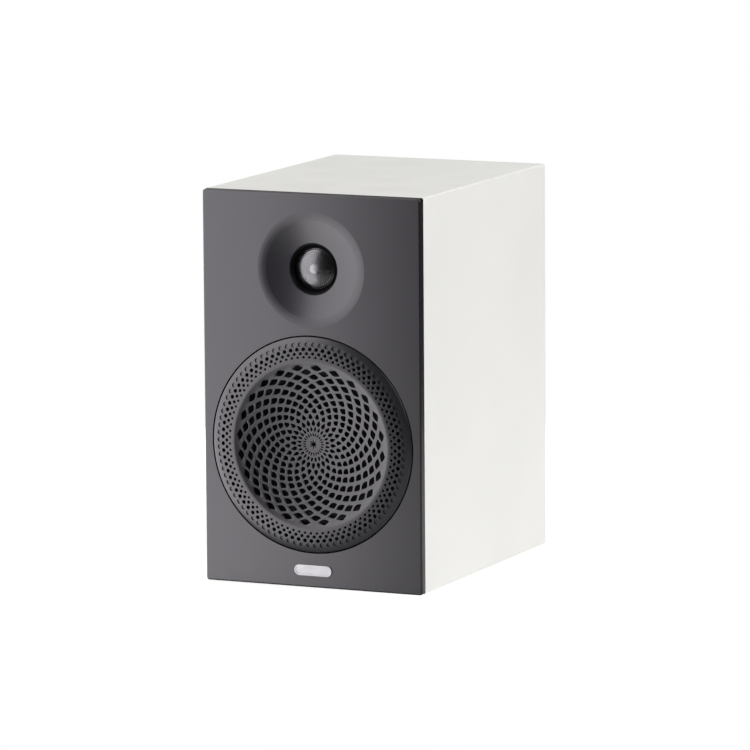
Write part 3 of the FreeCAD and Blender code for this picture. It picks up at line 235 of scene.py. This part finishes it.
def wadding():
    """Bonded polyester fibre."""
    m = Material("polyester_wadding", (0.78, 0.78, 0.76), 0.95, specular=0.1)
    m.set("Sheen Weight", 0.5)
    m.tint(m.noise(500, 6.0, 0.8, distortion=1.5), (0.62, 0.62, 0.60), (0.86, 0.86, 0.84))
    m.bump(m.noise(300, 6.0, 0.8, distortion=2.0), 1.2 * MM)
    return m.material


def butyl_rubber():
    m = Material("butyl_rubber", (0.006, 0.006, 0.007), 0.6, specular=0.15)
    m.vary(40, 0.1)
    m.uneven(120, 0.06)
    m.bump(m.noise(900, 3.0), 0.015 * MM)
    return m.material


def foam():
    m = Material("closed_cell_foam", (0.025, 0.025, 0.025), 0.92, specular=0.2)
    m.vary(300, 0.2)
    m.bump(m.cells(1800), 0.12 * MM)
    return m.material


def cone_composite():
    """Pulp and mineral cone: fine fibres in a dark matrix."""
    m = Material("cone_composite", (0.005, 0.005, 0.006), 0.8, specular=0.08)
    m.tint(m.noise(700, 6.0, 0.8, distortion=1.0), (0.003, 0.003, 0.004), (0.008, 0.008, 0.009))
    m.bump(m.noise(900, 5.0, 0.7, distortion=0.8), 0.05 * MM)
    return m.material


def woven(name, low, high, scale, depth=0.12):
    """Plain weave: two crossed sets of threads, where one or the other stands on top."""
    m = Material(name, high, 0.8, specular=0.25)
    mix = m.node("ShaderNodeMath", operation="MAXIMUM")
    for socket, direction in enumerate(("X", "Z")):
        m.link(m.bands(direction, scale, 0.4, 1.0), mix.inputs[socket])
    # painted shade: the colour darkens where the threads dip and between them, following the bump's height
    m.tint(mix.outputs[0], low, high)
    m.bump(mix.outputs[0], depth * MM)
    return m.material


def wound_wire():
    """Enamelled copper in close turns."""
    m = Material("enamelled_copper", (0.62, 0.26, 0.10), 0.28, 0.9)
    turns = m.bands("Z", 70, 0.15)
    # painted shade: the copper darkens into the grooves between turns, following the bump's height
    m.tint(turns, (0.36, 0.12, 0.04), (0.75, 0.34, 0.14))
    m.bump(turns, 0.15 * MM)
    return m.material


def laminate():
    m = Material("phenolic_laminate", (0.38, 0.2, 0.07), 0.4, coat=0.2)
    m.tint(m.noise(260, 4.0, 0.6, stretch=(1.0, 4.0, 1.0)), (0.30, 0.15, 0.05), (0.46, 0.26, 0.10))
    m.bump(m.noise(800, 2.0), 0.02 * MM)
    return m.material


def ferrite():
    m = Material("sintered_ferrite", (0.045, 0.045, 0.05), 0.55, 0.2)
    m.tint(m.noise(500, 5.0, 0.7), (0.03, 0.03, 0.034), (0.075, 0.075, 0.082))
    m.bump(m.cells(700), 0.06 * MM)
    return m.material


CLOTH_SCALE = 100                 # bands of 3.1 mm
FINE_SCALE = 500 / 3              # bands of 1.9 mm

MATERIALS = {
    "white_wrap": vinyl_wrap,
    "fibreboard": fibreboard,
    "wadding": wadding,
    "cover_plastic": lambda: moulded("cover_charcoal", (0.0125, 0.0114, 0.0146), 0.30, 600, 0.001,
                                     drift=0),
    "badge_metal": lambda: plated("badge_satin", (0.30, 0.30, 0.305), 0.42),
    "magnet_plating": lambda: plated("nickel_plate", (0.72, 0.70, 0.66), 0.2),
    "lens_plastic": lambda: moulded("lens_charcoal", (0.0120, 0.0110, 0.0140), 0.33, 700, 0.002,
                                    drift=0),
    "frame_metal": powder_coat,
    "foam": foam,
    "black_steel": lambda: plated("black_zinc", (0.03, 0.03, 0.032), 0.35),
    "surround_rubber": butyl_rubber,
    "cone_paper": cone_composite,
    "former_foil": lambda: plated("former_foil", (0.66, 0.66, 0.67), 0.3),
    "copper_wire": wound_wire,
    "spider_cloth": lambda: woven("phenolic_cloth", (0.30, 0.17, 0.05), (0.60, 0.40, 0.17), CLOTH_SCALE),
    "zinc_steel": lambda: plated("zinc_plate", (0.58, 0.58, 0.57), 0.32),
    "ferrite": ferrite,
    "board_laminate": laminate,
    "tinsel_braid": lambda: woven("tinsel_braid", (0.45, 0.22, 0.1), (0.8, 0.5, 0.3), FINE_SCALE, 0.06),
    "black_plastic": lambda: moulded("black_moulding", (0.014, 0.014, 0.015), 0.42, 1400, 0.03),
    "lens_metal": lambda: plated("perforated_metal", (0.15, 0.15, 0.153), 0.24),
    "dome_metal": lambda: plated("dome_metal", (0.05, 0.05, 0.055), 0.4),
    "dome_cloth": lambda: woven("dome_edge_cloth", (0.02, 0.02, 0.02), (0.05, 0.05, 0.05), FINE_SCALE,
                                0.05),
    "post_plating": lambda: plated("gold_plate", (0.88, 0.62, 0.26), 0.2),
    "red_band": lambda: moulded("red_band", (0.42, 0.012, 0.012), 0.3, 900, 0.01),
    "black_band": lambda: moulded("black_band", (0.014, 0.014, 0.014), 0.3, 900, 0.01),
    "tinned_brass": lambda: plated("tinned_brass", (0.68, 0.67, 0.62), 0.3),
    "nylon": lambda: moulded("natural_nylon", (0.74, 0.72, 0.66), 0.45, 700, 0.02),
    "nylon_black": lambda: moulded("black_nylon", (0.02, 0.02, 0.02), 0.45, 700, 0.02),
    "capacitor_film": lambda: moulded("film_wrap", (0.62, 0.42, 0.05), 0.2, 300, 0.02, patch=90),
    "ceramic": lambda: moulded("resistor_ceramic", (0.78, 0.75, 0.68), 0.75, 1500, 0.06),
    "wire_sleeve": lambda: moulded("wire_sleeve", (0.25, 0.014, 0.012), 0.35, 500, 0.02),
}
materials = {slot: make() for slot, make in MATERIALS.items()}

# the collar and the grille's plain margin are blacker than their slots' other pieces
throat_black = moulded("throat_black", (0.004, 0.004, 0.0045), 0.4, 1400, 0.004, specular=0.12)

for name, piece in nodes.items():
    piece.data.materials.clear()
    piece.data.materials.append(materials[slot_of[name]])
nodes["tweeter_collar"].data.materials[0] = throat_black
nodes["front_board"].data.materials[0] = painted_board()


# ================================================================ perforated surfaces
MOST_ROUNDING = 0.48              # share of a side that one corner's rounding may take
MOST_EDGE = 0.45                  # share of the gap to a cell's border that a softened edge may take
EDGE_LOOPS = ((1.0, 0.0), (0.35, 0.16), (0.05, 0.6), (0.0, 1.0))   # out and down, in edge widths
WELD = 0.004                      # millimetres within which points of neighbouring cells are one
NEARLY_PARALLEL = 1e-12
SLACK = 1e-9                      # share of a side by which a ray may miss its end
SHARP_ANGLE = math.radians(35)


def smooth_outline(corners, steps=7):
    """Closed outline with rounded corners. Each corner is (across, outward, rounding)."""
    count = len(corners)
    points = []
    for i in range(count):
        before, here, after = (np.array(corners[(i + k) % count][:2], float) for k in (-1, 0, 1))
        way_in = (before - here) / np.linalg.norm(before - here)
        way_out = (after - here) / np.linalg.norm(after - here)
        room = MOST_ROUNDING * min(np.linalg.norm(before - here), np.linalg.norm(after - here))
        cut = min(corners[i][2], room)
        start, end = here + way_in * cut, here + way_out * cut
        for t in np.linspace(0, 1, steps):
            points.append((1 - t) ** 2 * start + 2 * t * (1 - t) * here + t * t * end)
    return np.array(points)


def ray_reach(outline, directions):
    """How far each direction goes from the origin to a closed outline round it."""
    a = outline
    b = np.roll(outline, -1, axis=0)
    edge = b - a
    reach = np.zeros(len(directions))
    for i, way in enumerate(directions):
        cross = way[0] * edge[:, 1] - way[1] * edge[:, 0]
        cross = np.where(np.abs(cross) < NEARLY_PARALLEL, NEARLY_PARALLEL, cross)
        along = (a[:, 0] * edge[:, 1] - a[:, 1] * edge[:, 0]) / cross
        share = (a[:, 0] * way[1] - a[:, 1] * way[0]) / cross
        good = (along > 0) & (share >= -SLACK) & (share <= 1 + SLACK)
        reach[i] = along[good].min()
    return reach


class PerforatedShell:
    """A turned shell, front towards -Y, with rings of holes. Lengths are in millimetres from the axis.

    Each ring is made of cells that share their borders. A cell has a hole round its middle with a
    softened front edge and a straight wall, which goes through the shell or ends at a depth of its own.
    An outline may have any shape that each ray from its middle crosses once."""

    def __init__(self, front, thickness, edge):
        self.front = front
        self.thickness = thickness
        self.edge = edge
        self.points = []
        self.faces = []

    def add(self, across, up, depth):
        """Adds a loop of points and returns their numbers."""
        first = len(self.points)
        self.points.extend(zip(across, depth, up))
        return list(range(first, first + len(across)))

    def strip(self, a, b):
        """Joins two closed loops with the same number of points."""
        count = len(a)
        for i in range(count):
            j = (i + 1) % count
            self.faces.append((a[i], a[j], b[j], b[i]))

    def cell(self, corners, steps, outline, middle, turn, depth=None):
        """One cell, with its hole at the angle turn. Corners are (angle from there, radius)."""
        share = np.linspace(0, 1, steps, endpoint=False)[:, None]
        sides = zip(corners, corners[1:] + corners[:1])
        border = np.concatenate([np.array(p) + (np.array(q) - np.array(p)) * share for p, q in sides])
        across = border[:, 1] * np.sin(border[:, 0])
        outward = border[:, 1] * np.cos(border[:, 0]) - middle
        reach = np.hypot(across, outward)
        ways = np.stack([across / reach, outward / reach], axis=1)
        self.bore(ways, reach, ray_reach(outline, ways), middle, turn, depth)

    def bore(self, ways, reach, hole, middle, turn, depth=None):
        """Loops from a border in to a hole, over its softened edge, through, and out along the back.
        A blind hole has a floor at its depth instead."""
        edge = np.minimum(self.edge, (reach - hole) * MOST_EDGE)
        loops = [(reach, 0 * edge), ((reach + hole + edge) / 2, 0 * edge)]
        loops += [(hole + edge * out, edge * sink) for out, sink in EDGE_LOOPS]
        floor = np.full(len(hole), self.thickness if depth is None else depth)
        loops.append((hole, floor))
        if depth is None:
            loops.append((reach, floor))
        made = [self.loop(ways * length[:, None], middle, turn, sink) for length, sink in loops]
        for a, b in zip(made, made[1:]):
            self.strip(a, b)
        if depth is not None:
            self.faces.append(tuple(made[-1]))

    def loop(self, local, middle, turn, sink):
        """A loop of points round a hole, sunk from the front surface."""
        across, outward = local[:, 0], local[:, 1] + middle
        x = across * math.cos(turn) + outward * math.sin(turn)
        z = -across * math.sin(turn) + outward * math.cos(turn)
        return self.add(x, z, self.front(np.hypot(x, z)) + sink)

    def ring(self, radius, angles, sink=0.0, depth=None):
        """Closed ring of points set back from the front surface, or at a depth of its own."""
        place = self.front(np.full(len(angles), float(radius))) + sink
        if depth is not None:
            place = np.full(len(angles), float(depth))
        return self.add(radius * np.sin(angles), radius * np.cos(angles), place)

    def plain(self, radii, angles, sink=0.0):
        """Rings with no holes. Returns the last one."""
        rings = [self.ring(radius, angles, sink) for radius in radii]
        for a, b in zip(rings, rings[1:]):
            self.strip(a, b)
        return rings[-1]

    def lathe(self, profile, angles):
        """Closed rings through (radius, depth) points."""
        rings = [self.ring(radius, angles, depth=depth) for radius, depth in profile]
        for a, b in zip(rings, rings[1:]):
            self.strip(a, b)

    def zip_rings(self, first, second, sink):
        """Joins two rings with different points by triangles. Each ring is (radius, angles)."""
        whole = 2 * math.pi
        rings = []
        for radius, angles in (first, second):
            angles = np.sort(np.mod(angles, whole))
            rings.append((self.ring(radius, angles, sink), np.append(angles, angles[0] + whole)))
        (a, turn_a), (b, turn_b) = rings
        i = j = 0
        while i < len(a) or j < len(b):
            next_a = turn_a[i + 1] if i < len(a) else math.inf
            next_b = turn_b[j + 1] if j < len(b) else math.inf
            here_a, here_b = a[i % len(a)], b[j % len(b)]
            if next_a <= next_b:
                self.faces.append((here_a, a[(i + 1) % len(a)], here_b))
                i += 1
            else:
                self.faces.append((here_a, b[(j + 1) % len(b)], here_b))
                j += 1

    def build(self, name, centre):
        """Makes the piece, with its cells welded together."""
        mesh = bpy.data.meshes.new(name)
        points = [(centre.x + x * MM, FACE_Y + y * MM, centre.z + z * MM) for x, y, z in self.points]
        mesh.from_pydata(points, [], self.faces)
        bm = bmesh.new()
        bm.from_mesh(mesh)
        bmesh.ops.remove_doubles(bm, verts=bm.verts, dist=WELD * MM)
        bmesh.ops.recalc_face_normals(bm, faces=bm.faces)
        bm.to_mesh(mesh)
        bm.free()
        mesh.shade_smooth()
        mesh.set_sharp_from_angle(angle=SHARP_ANGLE)
        piece = bpy.data.objects.new(name, mesh)
        bpy.context.scene.collection.objects.link(piece)
        return piece


def profile_curve(points):
    """Smooth profile through (radius, depth) points: a monotone cubic, flat where it has to be."""
    r = np.array([p[0] for p in points], float)
    y = np.array([p[1] for p in points], float)
    slope = np.diff(y) / np.diff(r)
    tangent = np.zeros(len(r))
    tangent[0], tangent[-1] = slope[0], slope[-1]
    for i in range(1, len(r) - 1):
        if slope[i - 1] * slope[i] > 0:
            tangent[i] = 2 * slope[i - 1] * slope[i] / (slope[i - 1] + slope[i])

    def at(radius):
        radius = np.clip(radius, r[0], r[-1])
        k = np.clip(np.searchsorted(r, radius) - 1, 0, len(r) - 2)
        h = r[k + 1] - r[k]
        t = (radius - r[k]) / h
        h00 = (1 + 2 * t) * (1 - t) ** 2
        h10 = t * (1 - t) ** 2
        h01 = t * t * (3 - 2 * t)
        h11 = t * t * (t - 1)
        return h00 * y[k] + h10 * h * tangent[k] + h01 * y[k + 1] + h11 * h * tangent[k + 1]

    return at


# ================================================================ woofer lens
DISH_EDGE = 67.0                  # lens lengths are in millimetres, depths from the cover's face
DISH_EDGE_Y = -3.0
DISH_SINK = 3.0
DISH_SPHERE = (DISH_EDGE ** 2 + (DISH_SINK - DISH_EDGE_Y) ** 2) / (2 * (DISH_SINK - DISH_EDGE_Y))
DISH_COLUMNS = 24
DISH_STEPS = 6                    # mesh steps along each side of a cell
DISH_ZIGZAG = 0.29                # how far the borders swing, as a share of the rings' spacing
DISH_TWIST = 8.58                 # degrees from one ring to the next, going in
DISH_PHASE = 4.9                  # degrees of the outer ring's first hole
DISH_RINGS = (8.5, 13.2, 18.4, 23.8, 28.8, 33.1, 37.1, 41.1, 45.3, 49.4, 53.6, 57.5, 61.5, 65.3)
DISH_HUB = 6.4                    # inner border of the first ring's cells
DISH_LAST = 69.2                  # outer border of the last ring's
DISH_MARGIN = (DISH_LAST, 69.9, 70.5)                      # plain rings that have the dish's columns
HUB_HOLES = ((0.16, 1.15, 3.2), (0.24, 2.0, 4.3), (0.32, 3.3, 5.7))   # up to a radius share: wide, long
HOLE_WIDE = 10.4                  # the outermost kite across
HOLE_LONG = 5.2
KITES_FROM = 0.4                  # radius share where drops begin to turn into kites
HOLE_INWARD = 0.46                # share of a hole's length on the inner side of its ring
WIDEST_AT = (0.30, 0.43)          # share of the length where a drop and a kite are widest
INNER_END = (0.55, 0.25)          # width of a drop's and a kite's inner end over the widest
POINT_ROUNDING = 0.30             # over the length
SIDE_ROUNDING = 0.10              # over the width
END_ROUNDING = 0.15               # over the width
STAR_POINTS = 8
STAR_TIP = 3.4
STAR_WAIST = 1.45
STAR_ROUNDING = 0.25
LENS_SHELL = 1.3
LENS_RADIUS = 91.0
LENS_EDGE = 0.2                   # softened edge of the holes
LENS_WALL = 2.0
LENS_SIDE = 4.0                   # a step on the way down the lens's side
LENS_SEAT = 7.0
RIM_COLUMNS = 86
RIM_STEPS = 4
RIM_ROWS = ((74.1, 1.05), (77.1, 1.36), (80.7, 1.66), (84.6, 1.85))   # row radius, hole radius
RIM_EDGES = (72.7, 75.6, 78.9, 82.6, 86.6)
RIM_INSIDE = (71.2, 72.0, RIM_EDGES[0])                    # plain rings that have the rim's columns
RIM_OUTSIDE = (RIM_EDGES[-1], 88.0, 89.0, 89.7, 90.2, 90.6, 90.85, LENS_RADIUS)
RIM_BACK = (RIM_EDGES[-2], RIM_ROWS[-1][0], 87.0, LENS_RADIUS - LENS_WALL)     # behind the dimples
DIMPLE_DEPTH = 1.0


def lens_front():
    """Depth of the lens's front at any radius: a hollow dish inside a soft raised rim."""
    outer = profile_curve((
        (DISH_EDGE, DISH_EDGE_Y), (68.6, -3.46), (70.6, -3.86), (72.0, -3.86), (74.1, -3.72),
        (77.1, -3.45), (80.7, -3.05), (84.6, -2.42), (88.0, -1.5), (89.9, -0.7), (90.7, -0.1),
        (LENS_RADIUS, 0.85),
    ))

    def front(r):
        dish = DISH_SINK - (DISH_SPHERE - np.sqrt(DISH_SPHERE ** 2 - np.minimum(r, DISH_EDGE) ** 2))
        return np.where(r < DISH_EDGE, dish, outer(r))

    return front


def dish_outline(radius):
    """Hole of the spiral field: a slit near the hub, a drop, then a kite that points outwards."""
    share = radius / DISH_RINGS[-1]
    wide, long = HOLE_WIDE * share, HOLE_LONG
    for limit, hub_wide, hub_long in HUB_HOLES:
        if share < limit:
            wide, long = hub_wide, hub_long
            break
    kite = max(0.0, (share - KITES_FROM) / (1 - KITES_FROM))
    inner = -long * HOLE_INWARD
    side = inner + long * np.interp(kite, (0, 1), WIDEST_AT)
    end = wide / 2 * np.interp(kite, (0, 1), INNER_END)
    corners = [
        (0.0, inner + long, POINT_ROUNDING * long),
        (wide / 2, side, SIDE_ROUNDING * wide),
        (end, inner, END_ROUNDING * wide),
        (-end, inner, END_ROUNDING * wide),
        (-wide / 2, side, SIDE_ROUNDING * wide),
    ]
    return smooth_outline(corners)


def round_outline(radius, points=24):
    angle = around(points)
    return np.stack([radius * np.sin(angle), radius * np.cos(angle)], axis=1)


def star_outline():
    corners = []
    for i, angle in enumerate(around(2 * STAR_POINTS)):
        reach = STAR_WAIST if i % 2 else STAR_TIP
        corners.append((reach * math.sin(angle), reach * math.cos(angle), STAR_ROUNDING))
    return smooth_outline(corners, 5)


def lens_dish(shell):
    """Spiral field of holes. Each cell is a lopsided hexagon, so that rings mesh like roof tiles.
    Returns the angles of the field's outer border."""
    pitch = 2 * math.pi / DISH_COLUMNS
    twist = math.radians(DISH_TWIST)
    gaps = [b - a for a, b in zip(DISH_RINGS, DISH_RINGS[1:])]
    edges = [DISH_HUB] + [(a + b) / 2 for a, b in zip(DISH_RINGS, DISH_RINGS[1:])] + [DISH_LAST]
    zigzag = [0.0] + [DISH_ZIGZAG * gap for gap in gaps] + [0.0]
    ahead, behind = pitch - twist, twist
    for i, radius in enumerate(DISH_RINGS):
        low, high, up, down = edges[i], edges[i + 1], zigzag[i + 1], zigzag[i]
        corners = [(-behind, low + down), (0.0, low - down), (ahead, low + down),
                   (behind, high - up), (0.0, high + up), (-ahead, high - up)]
        outline = dish_outline(radius)
        first = math.radians(DISH_PHASE) - twist * (len(DISH_RINGS) - 1 - i)
        for k in range(DISH_COLUMNS):
            shell.cell(corners, DISH_STEPS, outline, radius, first + k * pitch)
    hub_turn = math.radians(DISH_PHASE) - twist * (len(DISH_RINGS) - 1)
    share = np.arange(DISH_STEPS) / DISH_STEPS
    inner = np.concatenate([-behind * (1 - share), ahead * share])
    outer = np.concatenate([-ahead * (1 - share), behind * share])
    spins = pitch * np.arange(DISH_COLUMNS)[:, None]
    hub_angles = (hub_turn + spins + inner).ravel()
    ways = np.stack([np.sin(hub_angles), np.cos(hub_angles)], axis=1)
    shell.bore(ways, np.full(len(ways), DISH_HUB), ray_reach(star_outline(), ways), 0.0, 0.0)
    return (math.radians(DISH_PHASE) + spins + outer).ravel()


def slanted_cell(pitch, low, high):
    """A cell whose sides lean, so that rows half a pitch apart share the points between them."""
    quarter, half = pitch / 4, pitch / 2
    return [(-half - quarter, low), (half - quarter, low), (half + quarter, high), (quarter - half, high)]


def lens_rim(shell):
    """Three rows of through holes and an outer row of dimples. Returns the angles of the rim's borders."""
    pitch = 2 * math.pi / RIM_COLUMNS
    for i, (radius, hole) in enumerate(RIM_ROWS):
        corners = slanted_cell(pitch, RIM_EDGES[i], RIM_EDGES[i + 1])
        blind = DIMPLE_DEPTH if i == len(RIM_ROWS) - 1 else None
        outline = round_outline(hole)
        for k in range(RIM_COLUMNS):
            spin = k * pitch + (pitch / 2 if i % 2 else 0.0)
            shell.cell(corners, RIM_STEPS, outline, radius, spin, blind)
    return around(RIM_COLUMNS * RIM_STEPS)


def build_woofer_lens():
    shell = PerforatedShell(lens_front(), LENS_SHELL, LENS_EDGE)
    dish = lens_dish(shell)
    rim = lens_rim(shell)
    for sink in (0.0, LENS_SHELL):
        shell.plain(DISH_MARGIN, dish, sink)
        shell.zip_rings((DISH_MARGIN[-1], dish), (RIM_INSIDE[0], rim), sink)
        shell.plain(RIM_INSIDE, rim, sink)
    shell.plain(RIM_OUTSIDE, rim)
    shell.plain(RIM_BACK, rim, LENS_SHELL)
    inner = RIM_BACK[-1]
    front = shell.front(np.array([LENS_RADIUS, inner]))
    shell.lathe((
        (LENS_RADIUS, front[0]),
        (LENS_RADIUS, LENS_SIDE),
        (LENS_RADIUS, LENS_SEAT),
        (inner, LENS_SEAT),
        (inner, front[1] + LENS_SHELL),
    ), rim)
    piece = shell.build("woofer_lens_moulding", WOOFER)
    piece.data.materials.append(materials["lens_plastic"])
    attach(piece, "cabinet")
    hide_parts("woofer_lens")


# ================================================================ tweeter lens
MESH_COLUMNS = 46
MESH_STEPS = 4
MESH_OUTER = 16.9
MESH_RINGS = 11
MESH_SHRINK = 0.876               # each ring's radius over the one outside it
MESH_FILL = 0.36                  # hole radius over the spacing
GRILLE_RADIUS = 19.2
GRILLE_FLANGE = 21.4
GRILLE_SHEET = 0.6
GRILLE_EDGE = 0.08                # softened edge of the holes
GRILLE_BLACK_FROM = 17.0          # outside this radius the sheet is as black as the collar
GRILLE_MARGIN = (MESH_OUTER, 17.5, 18.2, 18.8, GRILLE_RADIUS)   # plain rings outside the holes
GRILLE_CENTRE = (1.0, 0.75, 0.5, 0.25, 0.08)     # plain rings inside, as shares of the last row's border


def build_tweeter_lens():
    """Perforated metal dome: the same number of holes in each ring, finer towards a plain centre."""
    rise = (tweeter_high.y - tweeter_low.y) / MM - GRILLE_SHEET
    flange = (tweeter_low.y - FACE_Y) / MM + rise
    sphere = (GRILLE_RADIUS ** 2 + rise ** 2) / (2 * rise)

    def front(r):
        return flange - rise + sphere - np.sqrt(sphere ** 2 - np.minimum(r, GRILLE_RADIUS) ** 2)

    shell = PerforatedShell(front, GRILLE_SHEET, GRILLE_EDGE)
    pitch = 2 * math.pi / MESH_COLUMNS
    edges = [MESH_OUTER * MESH_SHRINK ** i for i in range(MESH_RINGS + 1)]
    for i in range(MESH_RINGS):
        outer, inner = edges[i], edges[i + 1]
        middle = (outer + inner) / 2
        corners = slanted_cell(pitch, inner, outer)
        outline = round_outline(MESH_FILL * pitch * middle, 16)
        for k in range(MESH_COLUMNS):
            shell.cell(corners, MESH_STEPS, outline, middle, k * pitch + (pitch / 2 if i % 2 else 0.0))
    angles = around(MESH_COLUMNS * MESH_STEPS)
    for sink in (0.0, GRILLE_SHEET):
        shell.plain(GRILLE_MARGIN, angles, sink)
        last = shell.plain([edges[-1] * share for share in GRILLE_CENTRE], angles, sink)
        shell.faces.append(tuple(last))
    base = float(front(GRILLE_RADIUS))
    shell.lathe((
        (GRILLE_RADIUS, base),
        (GRILLE_FLANGE, base),
        (GRILLE_FLANGE, base + GRILLE_SHEET),
        (GRILLE_RADIUS, base + GRILLE_SHEET),
    ), angles)
    piece = shell.build("tweeter_grille", TWEETER)
    piece.data.materials.append(materials["lens_metal"])
    piece.data.materials.append(throat_black)
    for face in piece.data.polygons:
        away = face.center - TWEETER
        face.material_index = int(math.hypot(away.x, away.z) > GRILLE_BLACK_FROM * MM)
    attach(piece, "cabinet")
    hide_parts("tweeter_lens")


build_woofer_lens()
build_tweeter_lens()


# ================================================================ camera
CAMERA_AZIMUTH = math.radians(24.29)       # right of straight ahead
CAMERA_ELEVATION = math.radians(8.613)
CAMERA_ROLL = math.radians(-0.406)
CAMERA_LENS = 301.1                        # millimetres
CAMERA_CLIP = 60.0                         # metres
CAMERA_PLACE = Vector((2.16667, -4.67301, 0.95928))   # metres, from the floor under the cover's face


def make_camera():
    back = Vector((
        math.sin(CAMERA_AZIMUTH) * math.cos(CAMERA_ELEVATION),
        -math.cos(CAMERA_AZIMUTH) * math.cos(CAMERA_ELEVATION),
        math.sin(CAMERA_ELEVATION),
    ))
    data = bpy.data.cameras.new("camera")
    data.lens = CAMERA_LENS
    data.clip_end = CAMERA_CLIP
    camera = bpy.data.objects.new("camera", data)
    bpy.context.scene.collection.objects.link(camera)
    level = (-back).to_track_quat("-Z", "Y")
    camera.rotation_mode = "QUATERNION"
    camera.rotation_quaternion = level @ Matrix.Rotation(CAMERA_ROLL, 3, "Z").to_quaternion()
    camera.location = Vector((0, FACE_Y, 0)) + CAMERA_PLACE
    bpy.context.scene.camera = camera


make_camera()


# ================================================================ stage and light
# places and sizes in metres, powers in watts
WORLD_LEVEL = 0.04
POWER_KEY = 14.9
POWER_SIDE = 23.5
POWER_TOP = 14.2
POWER_REAR = 12.0
FLOOR_GLOW = 0.02                 # emission that lights the object
FLOOR_SEEN = 0.72                 # emission that the camera sees, so that the floor is white
FLOOR_RADIUS = 0.75
FLOOR_SIDES = 128
WHITE = (1.0, 1.0, 1.0)
COOL = (0.985, 0.955, 1.0)
WARM = (1.0, 0.99, 0.965)
WARMER = (1.0, 0.99, 0.955)
KEY_PLACE = (-0.49, FACE_Y - 0.225, 0.43)        # close to the cover, and level
KEY_TARGET = (0, FACE_Y + 0.187, 0.43)
KEY_SIZE = (0.85, 1.34)
SIDE_PLACE = (1.5, -0.08, 1.1)
SIDE_TARGET = (0.1, 0.02, 0.22)
SIDE_SIZE = (1.0, 1.0)
TOP_PLACE = (0.0, 0.3, 1.7)
TOP_SIZE = (1.7, 1.7)
REAR_PLACE = (-1.45, 1.25, 0.9)
REAR_SIZE = (1.2, 1.2)
CABINET_MIDDLE = (0, 0, 0.17)


def make_stage():
    """A plain pale round of floor under the object."""
    mesh = bpy.data.meshes.new("floor")
    rim = [(FLOOR_RADIUS * math.cos(t), FLOOR_RADIUS * math.sin(t), 0) for t in around(FLOOR_SIDES)]
    mesh.from_pydata(rim, [], [range(FLOOR_SIDES)])
    floor = bpy.data.objects.new("floor", mesh)
    bpy.context.scene.collection.objects.link(floor)
    pale = Material("pale_floor", (0.90, 0.90, 0.90), 0.6, specular=0.1)
    pale.vary(3.0, 0.01)
    pale.set("Emission Color", (1, 1, 1, 1))
    seen = pale.node("ShaderNodeLightPath").outputs["Is Camera Ray"]
    glow = pale.spread(seen, FLOOR_GLOW, FLOOR_SEEN, (0.0, 1.0))
    pale.link(glow, pale.shader.inputs["Emission Strength"])
    mesh.materials.append(pale.material)
    return floor


def all_but(name, pieces):
    """A light linking group that leaves these pieces out."""
    group = bpy.data.collections.new(name)
    for piece in pieces:
        group.objects.link(piece)
    for member in group.collection_objects:
        member.light_linking.link_state = "EXCLUDE"
    return group


def area_light(name, place, target, size, power, colour):
    data = bpy.data.lights.new(name, "AREA")
    data.shape = "RECTANGLE"
    data.size, data.size_y = size
    data.energy = power
    data.color = colour
    light = bpy.data.objects.new(name, data)
    light.location = place
    light.rotation_mode = "QUATERNION"
    light.rotation_quaternion = (Vector(target) - Vector(place)).to_track_quat("-Z", "Y")
    light.visible_camera = False
    bpy.context.scene.collection.objects.link(light)
    return light


def make_world():
    """White to the camera, and a plain dim surround for everything else."""
    world = bpy.data.worlds.new("studio")
    bpy.context.scene.world = world
    world.use_nodes = True
    tree = world.node_tree
    back = tree.nodes["Background"]
    back.inputs["Strength"].default_value = 1.0
    seen = tree.nodes.new("ShaderNodeLightPath")
    mix = tree.nodes.new("ShaderNodeMix")
    mix.data_type = "RGBA"
    mix.inputs["A"].default_value = (WORLD_LEVEL, WORLD_LEVEL, WORLD_LEVEL, 1)
    mix.inputs["B"].default_value = (1, 1, 1, 1)
    tree.links.new(seen.outputs["Is Camera Ray"], mix.inputs["Factor"])
    tree.links.new(mix.outputs["Result"], back.inputs["Color"])


def make_lights(floor):
    """The key light from the left shapes the dark front. It leaves out the white panels and the floor."""
    key = area_light("key_left", KEY_PLACE, KEY_TARGET, KEY_SIZE, POWER_KEY, COOL)
    white = [piece for name, piece in nodes.items() if slot_of[name] == "white_wrap"]
    key.light_linking.receiver_collection = all_but("key_falls_on", white + [floor])
    key.light_linking.blocker_collection = all_but("key_is_blocked_by", [floor])
    area_light("side_right", SIDE_PLACE, SIDE_TARGET, SIDE_SIZE, POWER_SIDE, WARM)
    area_light("top", TOP_PLACE, CABINET_MIDDLE, TOP_SIZE, POWER_TOP, WARMER)
    area_light("rear_left", REAR_PLACE, CABINET_MIDDLE, REAR_SIZE, POWER_REAR, WHITE)


make_world()
make_lights(make_stage())
bpy.context.scene.view_settings.view_transform = "Standard"
